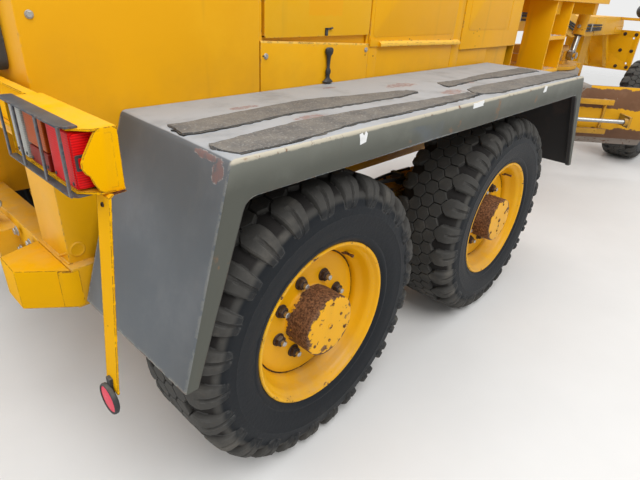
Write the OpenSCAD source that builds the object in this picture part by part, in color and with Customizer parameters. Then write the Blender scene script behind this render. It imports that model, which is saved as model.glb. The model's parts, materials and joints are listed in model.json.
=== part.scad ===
// Compact articulated motor grader, millimetres.
// X points forward, Y to the left, Z up. Lengths along X are laid out from the middle of
// the tandem axle and moved at the end, so that the origin is under the middle of the machine.

/* [Layout] */
// Distance from the tandem centre to the front axle
wheelbase = 4500; // [4420:10:4700]
// Distance from the tandem centre to the articulation pin
pivot_x = 1720; // [1690:5:1740]
// Distance from the tandem centre to the centre of the blade circle
circle_x = 2950; // [2920:5:2980]
// Foremost face of the front plate
front_x = 5480; // [5450:5:5600]
// Rearmost face of the lamp guards, behind the tandem centre
rear_x = 1290; // [1286:2:1340]

/* [Wheels] */
// Tyre outer radius
tyre_r = 485; // [475:1:490]
// Tyre width
tyre_w = 330; // [310:2:334]
// Outer radius of the rim flange
rim_r = 278; // [272:1:284]
// Rim width over its flanges
rim_w = 290; // [276:2:296]
// Distance of each tandem wheel from the tandem centre
tandem_pitch = 610; // [600:2:625]
// Middle of the rear tyres, from the centreline
rear_track = 885; // [880:1:890]
// Middle of the front tyres, from the centreline
front_track = 765; // [760:1:772]
// Lugs on each shoulder of a tyre
lug_n = 26; // [24:1:28]
// Depth of the tread under the lugs' tops
lug_h = 22; // [16:1:24]
// Length of a lug round the tyre
lug_l = 84; // [70:1:88]
// Radius of the hub drum
drum_r = 105; // [90:1:115]
// Radius of the wheel shaft
shaft_r = 40; // [34:1:44]

/* [Rear frame and tandems] */
// Half width of the hood and of the deck under it
body_y = 560; // [545:1:562]
// Top of the deck that the hood stands on
deck_z = 1045; // [1030:1:1060]
// Top of the hood
hood_z = 1950; // [1850:5:2000]
// Front wall of the hood
hood_front = 1500; // [1470:2:1505]
// Rear wall of the hood, behind the tandem centre
hood_rear = 1180; // [1160:2:1184]
// Thickness of the hood panels
panel_t = 6; // [4:1:10]
// Width of a tandem case
case_w = 170; // [150:2:180]
// Height of a tandem case
case_h = 270; // [230:5:290]

/* [Fenders] */
// Top of the fenders
fender_z = 1120; // [1112:1:1150]
// Outer edge of the fenders from the centreline
fender_y = 1080; // [1076:1:1090]
// Front end of the flat top
fender_front = 1185; // [1150:5:1200]
// Rear end of the flat top, behind the tandem centre
fender_rear = 1000; // [980:5:1020]
// Depth of the side skirt
skirt_h = 92; // [70:1:100]
// Thickness of the fender plate
fender_t = 6; // [4:1:8]

/* [Front frame] */
// Half width of the main beam
beam_y = 175; // [150:1:180]
// Underside of the beam ahead of the circle
beam_low = 1158; // [1150:1:1170]
// Top of the beam ahead of the circle
beam_top = 1338; // [1320:1:1360]
// Top of the beam under the cab
neck_top = 1430; // [1415:1:1436]
// Underside of the beam over the circle
neck_low = 1230; // [1210:1:1240]

/* [Cab] */
// Rear wall of the cab
cab_rear = 1780; // [1776:1:1800]
// Front wall of the cab
cab_front = 2950; // [2900:5:2980]
// Half width of the cab
cab_y = 620; // [590:5:640]
// Underside of the cab
cab_low = 1450; // [1440:1:1470]
// Top of the cab roof
cab_top = 2900; // [2800:10:3000]
// Width of the door opening
door_w = 640; // [600:5:680]
// Front edge of the door, ahead of the rear wall of the cab
door_from = 700; // [690:5:760]

/* [Blade] */
// Length of the moldboard
blade_l = 2430; // [2300:10:2430]
// Height of the moldboard with its cutting edge
blade_h = 500; // [460:5:520]
// Height of the cutting edge above the floor
blade_z = 318; // [300:2:340]
// Angle of the blade in the photograph, from straight across
blade_turn = 40; // [36:1:42]
// Outer radius of the circle ring
ring_r = 520; // [500:5:530]
// Underside of the circle ring
ring_z = 860; // [855:1:870]

/* [Front axle] */
// Height of the axle's rocking pin
rock_z = 600; // [595:1:610]
// Distance of each kingpin from the centreline
kingpin_y = 480; // [470:1:484]

/* [Hidden] */
$fn = 48;
mid_x = (front_x - rear_x) / 2;
axle_z = tyre_r;
gap = 5;
play = 0.3;

// Where each wheel stands: distance forward, middle of its tyre, turn of its first lug
WHEELS = [[-tandem_pitch, rear_track, 0], [tandem_pitch, rear_track, -6.3], [wheelbase, front_track, -6.3]];

// Wheel sections, along the wheel's axle from the middle of the tyre, outboard positive
rim_t = 9;
well_r = 226;
seat_r = 252;
disc_out = rim_w / 2 - 89;
disc_t = 16;
drum_out = rim_w / 2 + 13;
hub_in = -120;
shaft_in = -245;
// Inner end of a lug, and the middle band of blocks between the two rows
lug_in = 74;
band_y = 70;
band_h = 6;

// Tandem case, from the centreline
case_out = rear_track + hub_in - 75;
case_in = case_out - case_w;
trunnion_r = 95;

// Articulation
pin_r = 40;
ear_r = 90;
ear_low = 640;
ear_high = 960;

// Drawbar ball and lift cylinders
ball_x = wheelbase - 350;
ball_z = 780;
lift_x = circle_x + 50;
lift_z = ring_z + 200;
lift_y = 430;
lift_len = 560;
lift_ang = atan2(lift_z - ball_z, ball_x - lift_x);
saddle_x = lift_x + lift_len * sin(lift_ang);
saddle_z = lift_z + lift_len * cos(lift_ang);
barrel_r = 45;
barrel_len = 400;
rod_r = 22;
saddle_pin_r = 25;
rod_len = 400;

// Circle and blade, in the circle's own frame before it is turned
ring_h = 90;
ring_w = 100;
plate_t = 30;
edge_x = -120;
bow = 95;
bow_r = (pow(blade_h / 2, 2) + pow(bow, 2)) / (2 * bow);
mold_t = 16;
arm_y = 450;
rail_x = -262;
rail_w = 26;
rail_h = 44;
rail_z1 = blade_z + 135;
rail_z2 = blade_z + 385;
shift_z = blade_z + blade_h / 2;
shift_x = -372;
shift_end = -900;

// Shared shapes
module placed() { translate([-mid_x, 0, 0]) children(); }
module sided(s) { if (s > 0) children(); else mirror([0, 1, 0]) children(); }
module both() { children(); mirror([0, 1, 0]) children(); }
module box(x0, x1, y0, y1, z0, z1) { translate([x0, y0, z0]) cube([x1 - x0, y1 - y0, z1 - z0]); }
module bar_y(r, x, z, y0, y1) { translate([x, y0, z]) rotate([-90, 0, 0]) cylinder(h = y1 - y0, r = r); }
module bar_x(r, y, z, x0, x1) { translate([x0, y, z]) rotate([0, 90, 0]) cylinder(h = x1 - x0, r = r); }
module side_plate(points, y0, y1) {
    translate([0, y1, 0]) rotate([90, 0, 0]) linear_extrude(y1 - y0) polygon(points);
}
module strut(x0, z0, x1, z1, w, y0, y1) {
    len = sqrt(pow(x1 - x0, 2) + pow(z1 - z0, 2));
    translate([x0, y0, z0]) rotate([0, -atan2(z1 - z0, x1 - x0), 0]) translate([0, 0, -w / 2])
        cube([len, y1 - y0, w]);
}

// Rear frame: two rails under a deck, a front yoke with the articulation pin, a rear beam
rail_in = 300;
rail_out = 420;
rail_low = 640;
yoke_back = hood_front - 120;
beam_back = hood_rear - 20;
module rear_frame() {
    color("goldenrod") placed() {
        difference() {
            union() {
                both() box(-beam_back, yoke_back, rail_in, rail_out, rail_low, deck_z - 12);
                box(-hood_rear, hood_front, -body_y, body_y, deck_z - 12, deck_z);
                box(yoke_back, hood_front - 50, -rail_out, rail_out, ear_low - 40, deck_z - 12);
                for (z = [ear_low - 40, ear_high]) {
                    box(hood_front - 60, pivot_x, -ear_r, ear_r, z, z + 40);
                    translate([pivot_x, 0, z]) cylinder(h = 40, r = ear_r);
                }
                translate([pivot_x, 0, ear_low - 40]) cylinder(h = ear_high - ear_low + 80, r = pin_r);
                box(-beam_back - 10, -beam_back + 70, -body_y + 20, body_y - 20, 560, 690);
                both() side_plate([[-beam_back, 690], [-beam_back + 70, 690], [-beam_back + 330, deck_z - 12],
                    [-beam_back, deck_z - 12]], body_y - 72, body_y - 52);
                both() box(-beam_back, -beam_back + 60, rail_out, body_y - 52, 690, deck_z - 12);
                both() for (x = [-620, 560]) box(x, x + 60, rail_out, body_y, deck_z - 60, deck_z - 12);
                box(-hood_rear - 60, -beam_back - 10, -90, 90, 560, 660);
                both() for (x = [engine_x0 + 80, engine_x1 - 160])
                    box(x, x + 80, engine_y, rail_in, engine_z0 + 40, engine_z0 + 100);
            }
            translate([-hood_rear - 35, 0, 500]) cylinder(h = 300, r = 16);
            box(engine_x0 - 10, hood_front - 160, -rail_in + 20, rail_in - 20, deck_z - 20, deck_z + 10);
        }
    }
}

// Fender brackets stand on the deck's edge
module fender_brackets() {
    color("goldenrod") placed() both() for (x = [-850, -150, 500, 1050])
        box(x, x + 40, body_y, body_y + 40, deck_z - 12, fender_z - fender_t);
}

module rear_axle() {
    color("goldenrod") placed() {
        both() bar_y(trunnion_r, 0, axle_z, 0, case_in - gap);
        both() bar_y(trunnion_r - 25, 0, axle_z, case_in - gap, case_out - 40);
        translate([0, 0, axle_z]) sphere(r = 190, $fn = 48);
        both() box(-110, 110, rail_in + 10, rail_out - 10, axle_z + 60, rail_low);
    }
}

engine_x0 = -950;
engine_x1 = 80;
engine_y = 250;
engine_z0 = 760;
engine_z1 = 1500;
module engine() {
    color("dimgray") placed() box(engine_x0, engine_x1, -engine_y, engine_y, engine_z0, engine_z1);
}

// Hood with its side doors cut out
door_x0 = -490;
door_x1 = 80;
door_z0 = deck_z + 235;
hood_shoulder = 70;
door_z1 = hood_z - hood_shoulder - 60;
seam = 4;
// Rear edges of the two hinge lugs over each door
lug_x = [door_x0 + 22, door_x1 - 42];
// Top of the walls, where the hood's top sits on them
roof_z = hood_z - hood_shoulder - 20;
module top_outline(inset, low) {
    y = body_y - inset;
    polygon([[-y, low], [y, low], [y, hood_z - hood_shoulder - inset / 2],
        [y - hood_shoulder, hood_z - inset], [-y + hood_shoulder, hood_z - inset],
        [-y, hood_z - hood_shoulder - inset / 2]]);
}
module along_x(x0, x1) {
    translate([x0, 0, 0]) rotate([90, 0, 90]) linear_extrude(x1 - x0) children();
}
module hood() {
    color("gold") placed() {
        both() difference() {
            box(-hood_rear + panel_t + play, hood_front - panel_t - play, body_y - panel_t, body_y, deck_z,
                roof_z);
            box(door_x0, door_x1, body_y - 20, body_y + 10, door_z0, door_z1);
            for (x = [420 : 60 : 660])
                box(x, x + 30, body_y - 20, body_y + 10, hood_z - 420, hood_z - 180);
        }
        difference() {
            box(-hood_rear, -hood_rear + panel_t, -body_y, body_y, deck_z, roof_z);
            box(-hood_rear - 10, -hood_rear + 20, -grille_y, grille_y, grille_z0, grille_z1);
        }
        box(hood_front - panel_t, hood_front, -body_y, body_y, deck_z, roof_z);
    }
    color("gold") placed() both() for (x = lug_x) difference() {
        box(x, x + 20, body_y, body_y + 15, door_z1 - 24, door_z1 + 20);
        box(x - 1, x + 21, body_y - 1, body_y + 1, door_z1 - 25, door_z1);
        bar_x(6 + play, body_y + 7, door_z1 - 14, x - 1, x + 21);
    }
}
module hood_top() {
    color("gold") placed() difference() {
        along_x(-hood_rear, hood_front) top_outline(0, roof_z + play);
        along_x(-hood_rear + panel_t, hood_front - panel_t) top_outline(panel_t, roof_z - 1);
        translate([-300, 250, hood_z - 50]) cylinder(h = 100, r = 50);
    }
}
module hood_door(s) {
    color("gold") placed() sided(s) {
        difference() {
            box(door_x0 + seam, door_x1 - seam, body_y - panel_t, body_y, door_z0 + seam, door_z1 - seam);
            for (x = lug_x) box(x - 6, x + 26, body_y - 20, body_y + 1, door_z1 - 44, door_z1);
        }
        bar_x(6, body_y + 7, door_z1 - 14, door_x0 + 20, door_x1 - 20);
        box(door_x0 + 60, door_x1 - 60, body_y, body_y + 7, door_z1 - 20, door_z1 - 8);
        box(-205, -175, body_y, body_y + 10, door_z0 + 10, door_z0 + 30);
    }
}
module hood_door_left() { hood_door(1); }
module hood_door_right() { hood_door(-1); }

grille_y = 430;
grille_z0 = deck_z + 190;
grille_z1 = hood_z - 150;
module rear_grille() {
    color("dimgray") placed() {
        difference() {
            box(-hood_rear - 24, -hood_rear, -grille_y - 20, grille_y + 20, grille_z0 - 20, grille_z1 + 20);
            box(-hood_rear - 30, -hood_rear + 10, -grille_y + 20, grille_y - 20, grille_z0 + 20,
                grille_z1 - 20);
        }
        for (z = [grille_z0 + 40 : 45 : grille_z1 - 50])
            box(-hood_rear - 20, -hood_rear - 6, -grille_y + 10, grille_y - 10, z, z + 14);
    }
}

// Lamp bar across the back, with a hanging strap and a reflector at each end
bar_x1 = rear_x - 75;
bar_x0 = bar_x1 - 20;
lamp_z0 = deck_z + 56;
lamp_z1 = deck_z + 162;
end_y = 1036;
strap_x = rear_x - 40;
module lamp_bar() {
    color("gold") placed() {
        box(-bar_x1, -bar_x0, -end_y, end_y, lamp_z0, lamp_z1);
        both() box(-rear_x + 12, -bar_x0, end_y - 330, end_y, lamp_z1, lamp_z1 + 5);
        both() box(-rear_x + 12, -bar_x0, end_y - 330, end_y, lamp_z0 - 5, lamp_z0);
        both() side_plate([[-bar_x1, lamp_z0], [-bar_x1 - 20, lamp_z0], [-rear_x + 14, lamp_z0 + 40],
            [-rear_x + 14, lamp_z0 + 62], [-bar_x1 - 20, lamp_z1], [-bar_x1, lamp_z1]], end_y - 6, end_y);
        box(-bar_x0, -hood_rear, -300, 300, lamp_z0, lamp_z0 + 60);
        both() box(-strap_x, -strap_x + 5, end_y - 40, end_y - 10, 640, lamp_z0 - 5);
    }
}
// Upright bars of a guard, between and beside the lamps
guard_y = [end_y - 326, end_y - 239, end_y - 129, end_y - 29];
module lamp_guards() {
    color("darkslategray") placed() both() {
        for (strip = [[lamp_z0 - 9, 36], [lamp_z1 + 5, 60]])
            box(-rear_x, -rear_x + strip[1], end_y - 330, end_y - 20, strip[0], strip[0] + 4);
        for (y = guard_y) box(-rear_x, -rear_x + 4, y - 5, y + 5, lamp_z0 - 5, lamp_z1 + 5);
    }
}
// Each lamp: inner side, outer side. Clear, amber over red, and red, from the inside out
LAMPS = [[end_y - 312, end_y - 243], [end_y - 235, end_y - 137], [end_y - 123, end_y - 24]];
module tail_lamps() {
    color("firebrick") placed() both()
        for (lamp = LAMPS) box(-rear_x + 14, -bar_x1, lamp[0], lamp[1], lamp_z0 + 2, lamp_z1 - 2);
}
module reflectors() {
    color("crimson") placed() both() {
        translate([-strap_x, end_y - 25, 622]) rotate([0, -90, 0]) cylinder(h = 14, r = 38);
    }
}
module exhaust() {
    color("dimgray") placed() {
        translate([-300, 250, 1500]) cylinder(h = hood_z + 330 - 1500, r = 40);
        translate([-300, 250, hood_z + 40]) cylinder(h = 160, r = 56);
    }
}

// Fenders: flat top, slanted ends, side skirt and slim skirts down the ends
low_rear = [-1152, 590];
low_front = [1420, 610];
module fender(s) {
    top_rear = [-fender_rear, fender_z];
    top_front = [fender_front, fender_z];
    t = fender_t;
    color("gray") placed() sided(s) {
        side_plate([low_rear, top_rear, top_front, low_front, low_front - [t, 0], top_front - [t * 0.7, t],
            top_rear + [t * 0.7, -t], low_rear + [t, 0]], body_y + 2, fender_y);
        side_plate([top_rear, top_front, low_front, low_front - [38, 0], top_front - [38, skirt_h],
            top_rear + [38, -skirt_h], low_rear + [38, 0], low_rear], fender_y - t, fender_y);
    }
}
module fender_left() { fender(1); }
module fender_right() { fender(-1); }

// Tandem cases rock on the rear axle's ends
module tandem(s) {
    r = case_h / 2;
    color("goldenrod") placed() sided(s) difference() {
        union() {
            box(-tandem_pitch, tandem_pitch, case_in, case_out, axle_z - r, axle_z + r);
            for (x = [-tandem_pitch, tandem_pitch]) {
                bar_y(r, x, axle_z, case_in, case_out);
                bar_y(shaft_r + 55, x, axle_z, case_out, rear_track + hub_in - gap);
            }
            bar_y(r + 20, 0, axle_z, case_in, case_out + 10);
        }
        for (x = [-tandem_pitch, tandem_pitch])
            bar_y(shaft_r + play, x, axle_z, rear_track + shaft_in - gap, rear_track);
        bar_y(trunnion_r - 25 + play, 0, axle_z, case_in - 1, case_out - 35);
    }
}
module tandem_left() { tandem(1); }
module tandem_right() { tandem(-1); }

// Wheels. Each is turned about its own axle, which the profile takes as Z, outboard up
module rim_shape() {
    h = rim_w / 2;
    rotate_extrude() polygon([[rim_r, h], [rim_r, h - 8], [seat_r + rim_t, h - 14], [seat_r, h - 60],
        [well_r + rim_t, h - 90], [well_r + rim_t, -h + 90], [seat_r, -h + 60],
        [seat_r + rim_t, -h + 14], [rim_r, -h + 8], [rim_r, -h], [seat_r, -h + 4],
        [seat_r - rim_t, -h + 56], [well_r, -h + 84], [well_r, disc_out - disc_t], [0, disc_out - disc_t],
        [0, disc_out], [well_r, disc_out], [well_r, h - 84], [seat_r - rim_t, h - 56], [seat_r, h - 4]]);
    translate([0, 0, hub_in]) cylinder(h = drum_out - hub_in, r = drum_r);
    translate([0, 0, shaft_in]) cylinder(h = hub_in - shaft_in, r = shaft_r);
}
module tyre_shape() {
    h = tyre_w / 2;
    b = rim_w / 2 - 8 - 2 * play;
    bead_r = seat_r + rim_t + 2 * play;
    floor_r = tyre_r - lug_h;
    block_r = tyre_r - band_h;
    half = [[bead_r, b - 6], [rim_r + 2, b], [rim_r + 40, h - 10], [rim_r + 94, h - 2.5],
        [tyre_r - 70, h - 9], [tyre_r - 42, h - 27], [floor_r, h - 65], [floor_r, band_y],
        [block_r, band_y]];
    rotate_extrude($fn = 2 * lug_n)
        polygon([for (p = half) p, for (i = [len(half) - 1 : -1 : 0]) [half[i][0], -half[i][1]]]);
}
// A row of lugs on one shoulder, cut round at the tyre's radius
module lug_row() {
    h = tyre_w / 2;
    intersection() {
        for (i = [1 : lug_n]) rotate([90, 0, i * 360 / lug_n]) translate([0, 0, -lug_l / 2])
            linear_extrude(lug_l) polygon([[tyre_r - 45, lug_in], [tyre_r + 2, lug_in + 3],
                [tyre_r - 2, h - 43], [tyre_r - 24, h - 13], [tyre_r - 63, h], [tyre_r - 82, h - 3],
                [tyre_r - 85, h - 20]]);
        cylinder(h = tyre_w, r = tyre_r, $fn = 4 * lug_n);
    }
}
// Puts a wheel's shape at its place: wheel is its row in WHEELS, s its side
module at_wheel(wheel, s) {
    placed() sided(s) translate([wheel[0], wheel[1], axle_z]) rotate([-90, 0, 0]) children();
}
module rim(i, s) { color("gold") at_wheel(WHEELS[i], s) rim_shape(); }
module tyre(i, s) {
    color("darkslategray") at_wheel(WHEELS[i], s) rotate([0, 0, WHEELS[i][2]]) {
        tyre_shape();
        lug_row();
        rotate([0, 0, 180 / lug_n]) mirror([0, 0, 1]) lug_row();
    }
}
module rim_rear_left() { rim(0, 1); }
module rim_rear_right() { rim(0, -1); }
module rim_mid_left() { rim(1, 1); }
module rim_mid_right() { rim(1, -1); }
module rim_front_left() { rim(2, 1); }
module rim_front_right() { rim(2, -1); }
module tyre_rear_left() { tyre(0, 1); }
module tyre_rear_right() { tyre(0, -1); }
module tyre_mid_left() { tyre(1, 1); }
module tyre_mid_right() { tyre(1, -1); }
module tyre_front_left() { tyre(2, 1); }
module tyre_front_right() { tyre(2, -1); }

// Front frame: boss on the articulation pin, neck over the circle, beam to the front plate
neck_x = pivot_x + 210;
fork_y = 90;
fork_t = 30;
fork_gap = 85;
module gooseneck() {
    color("gold") placed() {
        difference() {
            union() {
                translate([pivot_x, 0, ear_low + gap])
                    cylinder(h = ear_high - ear_low - 2 * gap, r = ear_r - 5);
                box(pivot_x, neck_x + 10, -75, 75, ear_low + gap, ear_high - gap);
                side_plate([[neck_x, ear_low - 20], [neck_x + 110, ear_low - 20], [neck_x + 300, neck_low],
                    [circle_x + 350, neck_low], [circle_x + 750, beam_low], [front_x - 40, beam_low],
                    [front_x - 40, beam_top - 90], [front_x - 130, beam_top], [circle_x + 750, beam_top],
                    [circle_x + 350, neck_top], [neck_x + 140, neck_top], [neck_x, ear_high + 60]],
                    -beam_y, beam_y);
                saddle();
                bolster();
                front_end();
                ball_bracket();
                cab_mounts();
            }
            translate([pivot_x, 0, 0]) cylinder(h = 2000, r = pin_r + play);
        }
    }
}
module saddle() {
    box(saddle_x - 90, saddle_x + 90, -beam_y - 20, beam_y + 20, neck_top - 40, neck_top + 30);
    box(saddle_x - 60, saddle_x + 60, -lift_y + 60, lift_y - 60, neck_top + 30, saddle_z + 45);
    both() bar_y(saddle_pin_r, saddle_x, saddle_z, lift_y - 60, lift_y + 40);
}
module bolster() {
    for (x = [wheelbase - fork_gap - fork_t, wheelbase + fork_gap]) {
        box(x, x + fork_t, -fork_y, fork_y, rock_z, beam_low);
        bar_x(fork_y - 20, 0, rock_z, x, x + fork_t);
    }
    bar_x(30, 0, rock_z, wheelbase - fork_gap - fork_t - 20, wheelbase + fork_gap + fork_t + 20);
    box(wheelbase - fork_gap - fork_t, wheelbase + fork_gap + fork_t, -fork_y, fork_y, 760, beam_low);
}
module front_end() {
    difference() {
        box(front_x - 40, front_x, -380, 380, 760, 1200);
        both() for (z = [840, 1120]) bar_x(13, 320, z, front_x - 50, front_x + 10);
    }
    both() strut(front_x - 38, 800, front_x - 420, beam_low + 10, 60, beam_y - 90, beam_y - 50);
}
module ball_bracket() {
    both() side_plate([[ball_x - 60, ball_z], [ball_x - 30, ball_z - 60], [ball_x + 40, ball_z - 60],
        [ball_x + 110, beam_low], [ball_x - 60, beam_low]], 60, 90);
    bar_y(30, ball_x, ball_z, -90, 90);
}
module cab_mounts() {
    for (x = [cab_rear + 260, cab_front - 120]) {
        box(x, x + 80, -cab_y + 60, cab_y - 60, neck_top - 60, cab_low);
    }
}

// Cab: floor pan, walls with cut windows, roof
wall_t = 45;
post = 75;
sill_z = cab_low + 560;
head_z = cab_top - 210;
door_x = cab_rear + door_from;
door_low = cab_low + 40;
door_gap = 5;
hinge_x = door_x - door_w + door_gap;
hinge_z = [door_low + 150, head_z - 200];
hinge_h = 90;
module cab_shell() {
    color("gold") placed() {
        difference() {
            box(cab_rear, cab_front, -cab_y, cab_y, cab_low, cab_top - 90);
            box(cab_rear + wall_t, cab_front - wall_t, -cab_y + wall_t, cab_y - wall_t, cab_low + 40,
                cab_top - 130);
            box(cab_rear - 10, cab_front + 10, -cab_y + post, cab_y - post, sill_z, head_z);
            both() box(door_x - door_w, door_x, cab_y - wall_t - 10, cab_y + 10, door_low, head_z + 10);
            both() box(door_x + post, cab_front - post, cab_y - wall_t - 10, cab_y + 10, sill_z, head_z);
        }
        box(cab_rear - 60, cab_front + 90, -cab_y - 30, cab_y + 30, cab_top - 90, cab_top);
        both() for (z = hinge_z, dz = [-30 - play, hinge_h + play]) {
            translate([hinge_x, cab_y + 14, z + dz]) cylinder(h = 30, r = 12);
            box(hinge_x - 45, hinge_x, cab_y, cab_y + 22, z + dz, z + dz + 30);
        }
    }
}
pane = 6;
module cab_glass() {
    color("lightblue", 0.4) placed() {
        for (x = [cab_rear + 15, cab_front - 21])
            box(x, x + pane, -cab_y + post, cab_y - post, sill_z, head_z);
        both() box(door_x + post, cab_front - post, cab_y - 25, cab_y - 25 + pane, sill_z, head_z);
    }
}
module cab_door(s) {
    x0 = hinge_x;
    x1 = door_x - 8;
    color("gold") placed() sided(s) difference() {
        union() {
            box(x0, x1, cab_y - wall_t, cab_y, door_low + door_gap, head_z + 10 - door_gap);
            for (z = hinge_z) {
                translate([x0, cab_y + 14, z]) cylinder(h = hinge_h, r = 12);
                box(x0, x0 + 45, cab_y, cab_y + 20, z, z + hinge_h);
            }
            box(x1 - 60, x1 - 30, cab_y, cab_y + 30, sill_z - 60, sill_z + 60);
        }
        box(x0 + 60, x1 - 60, cab_y - wall_t - 5, cab_y + 5, sill_z - 120, head_z - 55);
        box(x0 + 60, x1 - 60, cab_y - wall_t - 5, cab_y + 5, door_low + 70, sill_z - 190);
    }
}
module cab_door_left() { cab_door(1); }
module cab_door_right() { cab_door(-1); }
module door_glass(s) {
    x0 = hinge_x + 60;
    x1 = door_x - 8 - 60;
    color("lightblue", 0.4) placed() sided(s) {
        box(x0, x1, cab_y - 25, cab_y - 25 + pane, sill_z - 120, head_z - 55);
        box(x0, x1, cab_y - 25, cab_y - 25 + pane, door_low + 70, sill_z - 190);
    }
}
module door_glass_left() { door_glass(1); }
module door_glass_right() { door_glass(-1); }

seat_x = cab_rear + 380;
module seat() {
    color("black") placed() {
        box(seat_x - 170, seat_x + 170, -190, 190, cab_low + 40, cab_low + 330);
        box(seat_x - 240, seat_x + 260, -240, 240, cab_low + 330, cab_low + 470);
        side_plate([[seat_x - 240, cab_low + 470], [seat_x - 120, cab_low + 470],
            [seat_x - 200, cab_low + 1050], [seat_x - 290, cab_low + 1050]], -230, 230);
    }
}
module controls() {
    color("dimgray") placed() {
        box(cab_front - 260, cab_front - wall_t - 2, -260, 260, cab_low + 40, cab_low + 760);
        strut(cab_front - 240, cab_low + 700, cab_front - 376, cab_low + 909, 60, -30, 30);
        translate([cab_front - 366, 0, cab_low + 900]) rotate([0, -33, 0]) {
            difference() {
                cylinder(h = 26, r = 190);
                translate([0, 0, -1]) cylinder(h = 28, r = 165);
            }
            box(-168, 168, -14, 14, 4, 22);
            box(-14, 14, -168, 168, 4, 22);
        }
        both() for (i = [0 : 3]) translate([cab_front - 330 + 8 * i, 300 + 42 * i, cab_low + 740])
            cylinder(h = 200, r = 8);
        both() box(cab_front - 350, cab_front - 280, 270, 470, cab_low + 40, cab_low + 742);
    }
}
step_x0 = cab_rear + 120;
step_x1 = step_x0 + 300;
module cab_steps() {
    color("dimgray") placed() both() {
        for (x = [step_x0, step_x1 - 12]) box(x, x + 12, cab_y - 190, cab_y - 10, 1010, cab_low);
        for (z = [1010, 1220]) box(step_x0 + 12, step_x1 - 12, cab_y - 190, cab_y - 10, z, z + 22);
    }
}
module lights_and_mirrors() {
    color("black") placed() {
        both() {
            box(front_x - 240, front_x - 200, beam_y, 440, beam_top - 30, beam_top);
            bar_x(75, 370, beam_top + 75, front_x - 260, front_x - 170);
            box(cab_front - 20, cab_front + 10, cab_y, cab_y + 170, cab_top - 420, cab_top - 405);
            box(cab_front - 25, cab_front + 5, cab_y + 140, cab_y + 300, cab_top - 680, cab_top - 400);
            box(cab_front + 90, cab_front + 150, cab_y - 180, cab_y - 60, cab_top - 85, cab_top - 5);
        }
        translate([cab_rear + 150, 0, cab_top]) cylinder(h = 150, r = 60);
    }
}

// Lift cylinders: barrel on the saddle's pin, rod down to the drawbar's pin
module on_lift(s) {
    placed() sided(s) translate([saddle_x, lift_y, saddle_z]) rotate([0, lift_ang, 0]) children();
}
module lift_barrel(s) {
    color("gold") on_lift(s) difference() {
        union() {
            translate([0, 0, -barrel_len]) cylinder(h = barrel_len - 20, r = barrel_r);
            bar_y(48, 0, 0, -25, 25);
        }
        bar_y(saddle_pin_r + play, 0, 0, -50, 50);
        translate([0, 0, -barrel_len - 1]) cylinder(h = barrel_len - 54, r = rod_r + play);
    }
}
module lift_barrel_left() { lift_barrel(1); }
module lift_barrel_right() { lift_barrel(-1); }
eye_r = 26;
module lift_rod(s) {
    color("silver") on_lift(s) translate([0, 0, -lift_len]) difference() {
        union() {
            translate([0, 0, 30]) cylinder(h = rod_len - 30, r = rod_r);
            bar_y(40, 0, 0, -20, 20);
        }
        bar_y(eye_r, 0, 0, -30, 30);
    }
}
module lift_rod_left() { lift_rod(1); }
module lift_rod_right() { lift_rod(-1); }

// Drawbar: plate over the ring, two arms to the ball, ears for the lift rods
plate_z = ring_z + ring_h + gap;
module drawbar() {
    color("gold") placed() {
        translate([circle_x, 0, plate_z]) difference() {
            cylinder(h = plate_t, r = ring_r - 30);
            translate([0, 0, -1]) cylinder(h = plate_t + 2, r = 190);
        }
        both() {
            side_y = 300;
            translate([0, 0, plate_z + plate_t - 2]) linear_extrude(82)
                polygon([[circle_x - 330, side_y - 40], [circle_x - 330, side_y + 60],
                    [circle_x + 330, side_y + 20], [ball_x - 120, 70], [ball_x - 120, 10],
                    [circle_x + 330, side_y - 70]]);
            box(lift_x - 70, lift_x + 70, side_y - 10, lift_y - 30, plate_z + plate_t - 2,
                plate_z + plate_t + 30);
            side_plate([[lift_x - 65, plate_z + plate_t - 3], [lift_x + 65, plate_z + plate_t - 3],
                [lift_x + 30, lift_z + 30], [lift_x - 30, lift_z + 30]], lift_y - 50, lift_y - 32);
            bar_y(16, lift_x, lift_z, lift_y - 45, lift_y + 40);
        }
        for (a = [45 : 90 : 315]) translate([circle_x, 0, 0]) rotate([0, 0, a])
            translate([0, 60, 0]) rotate([90, 0, 0]) linear_extrude(120) polygon([
                [ring_r - 90, ring_z + ring_h + play], [ring_r - 20, ring_z + ring_h + play],
                [ring_r - 20, plate_z + 8], [ring_r + gap, plate_z + 8], [ring_r + gap, ring_z + 20],
                [ring_r + 40, ring_z + 20], [ring_r + 40, plate_z + plate_t - 3],
                [ring_r - 90, plate_z + plate_t - 3]]);
        box(circle_x - 250, circle_x - 190, -310, 310, plate_z + plate_t - 2, plate_z + plate_t + 60);
        difference() {
            union() {
                side_plate([[ball_x - 150, plate_z + plate_t + 77], [ball_x - 118, plate_z + plate_t + 77],
                    [ball_x, ball_z + 50], [ball_x, ball_z - 50], [ball_x - 60, ball_z - 30],
                    [ball_x - 150, plate_z + plate_t]], -55, 55);
                bar_y(56, ball_x, ball_z, -55, 55);
            }
            bar_y(30 + play, ball_x, ball_z, -60, 60);
        }
    }
}

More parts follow.
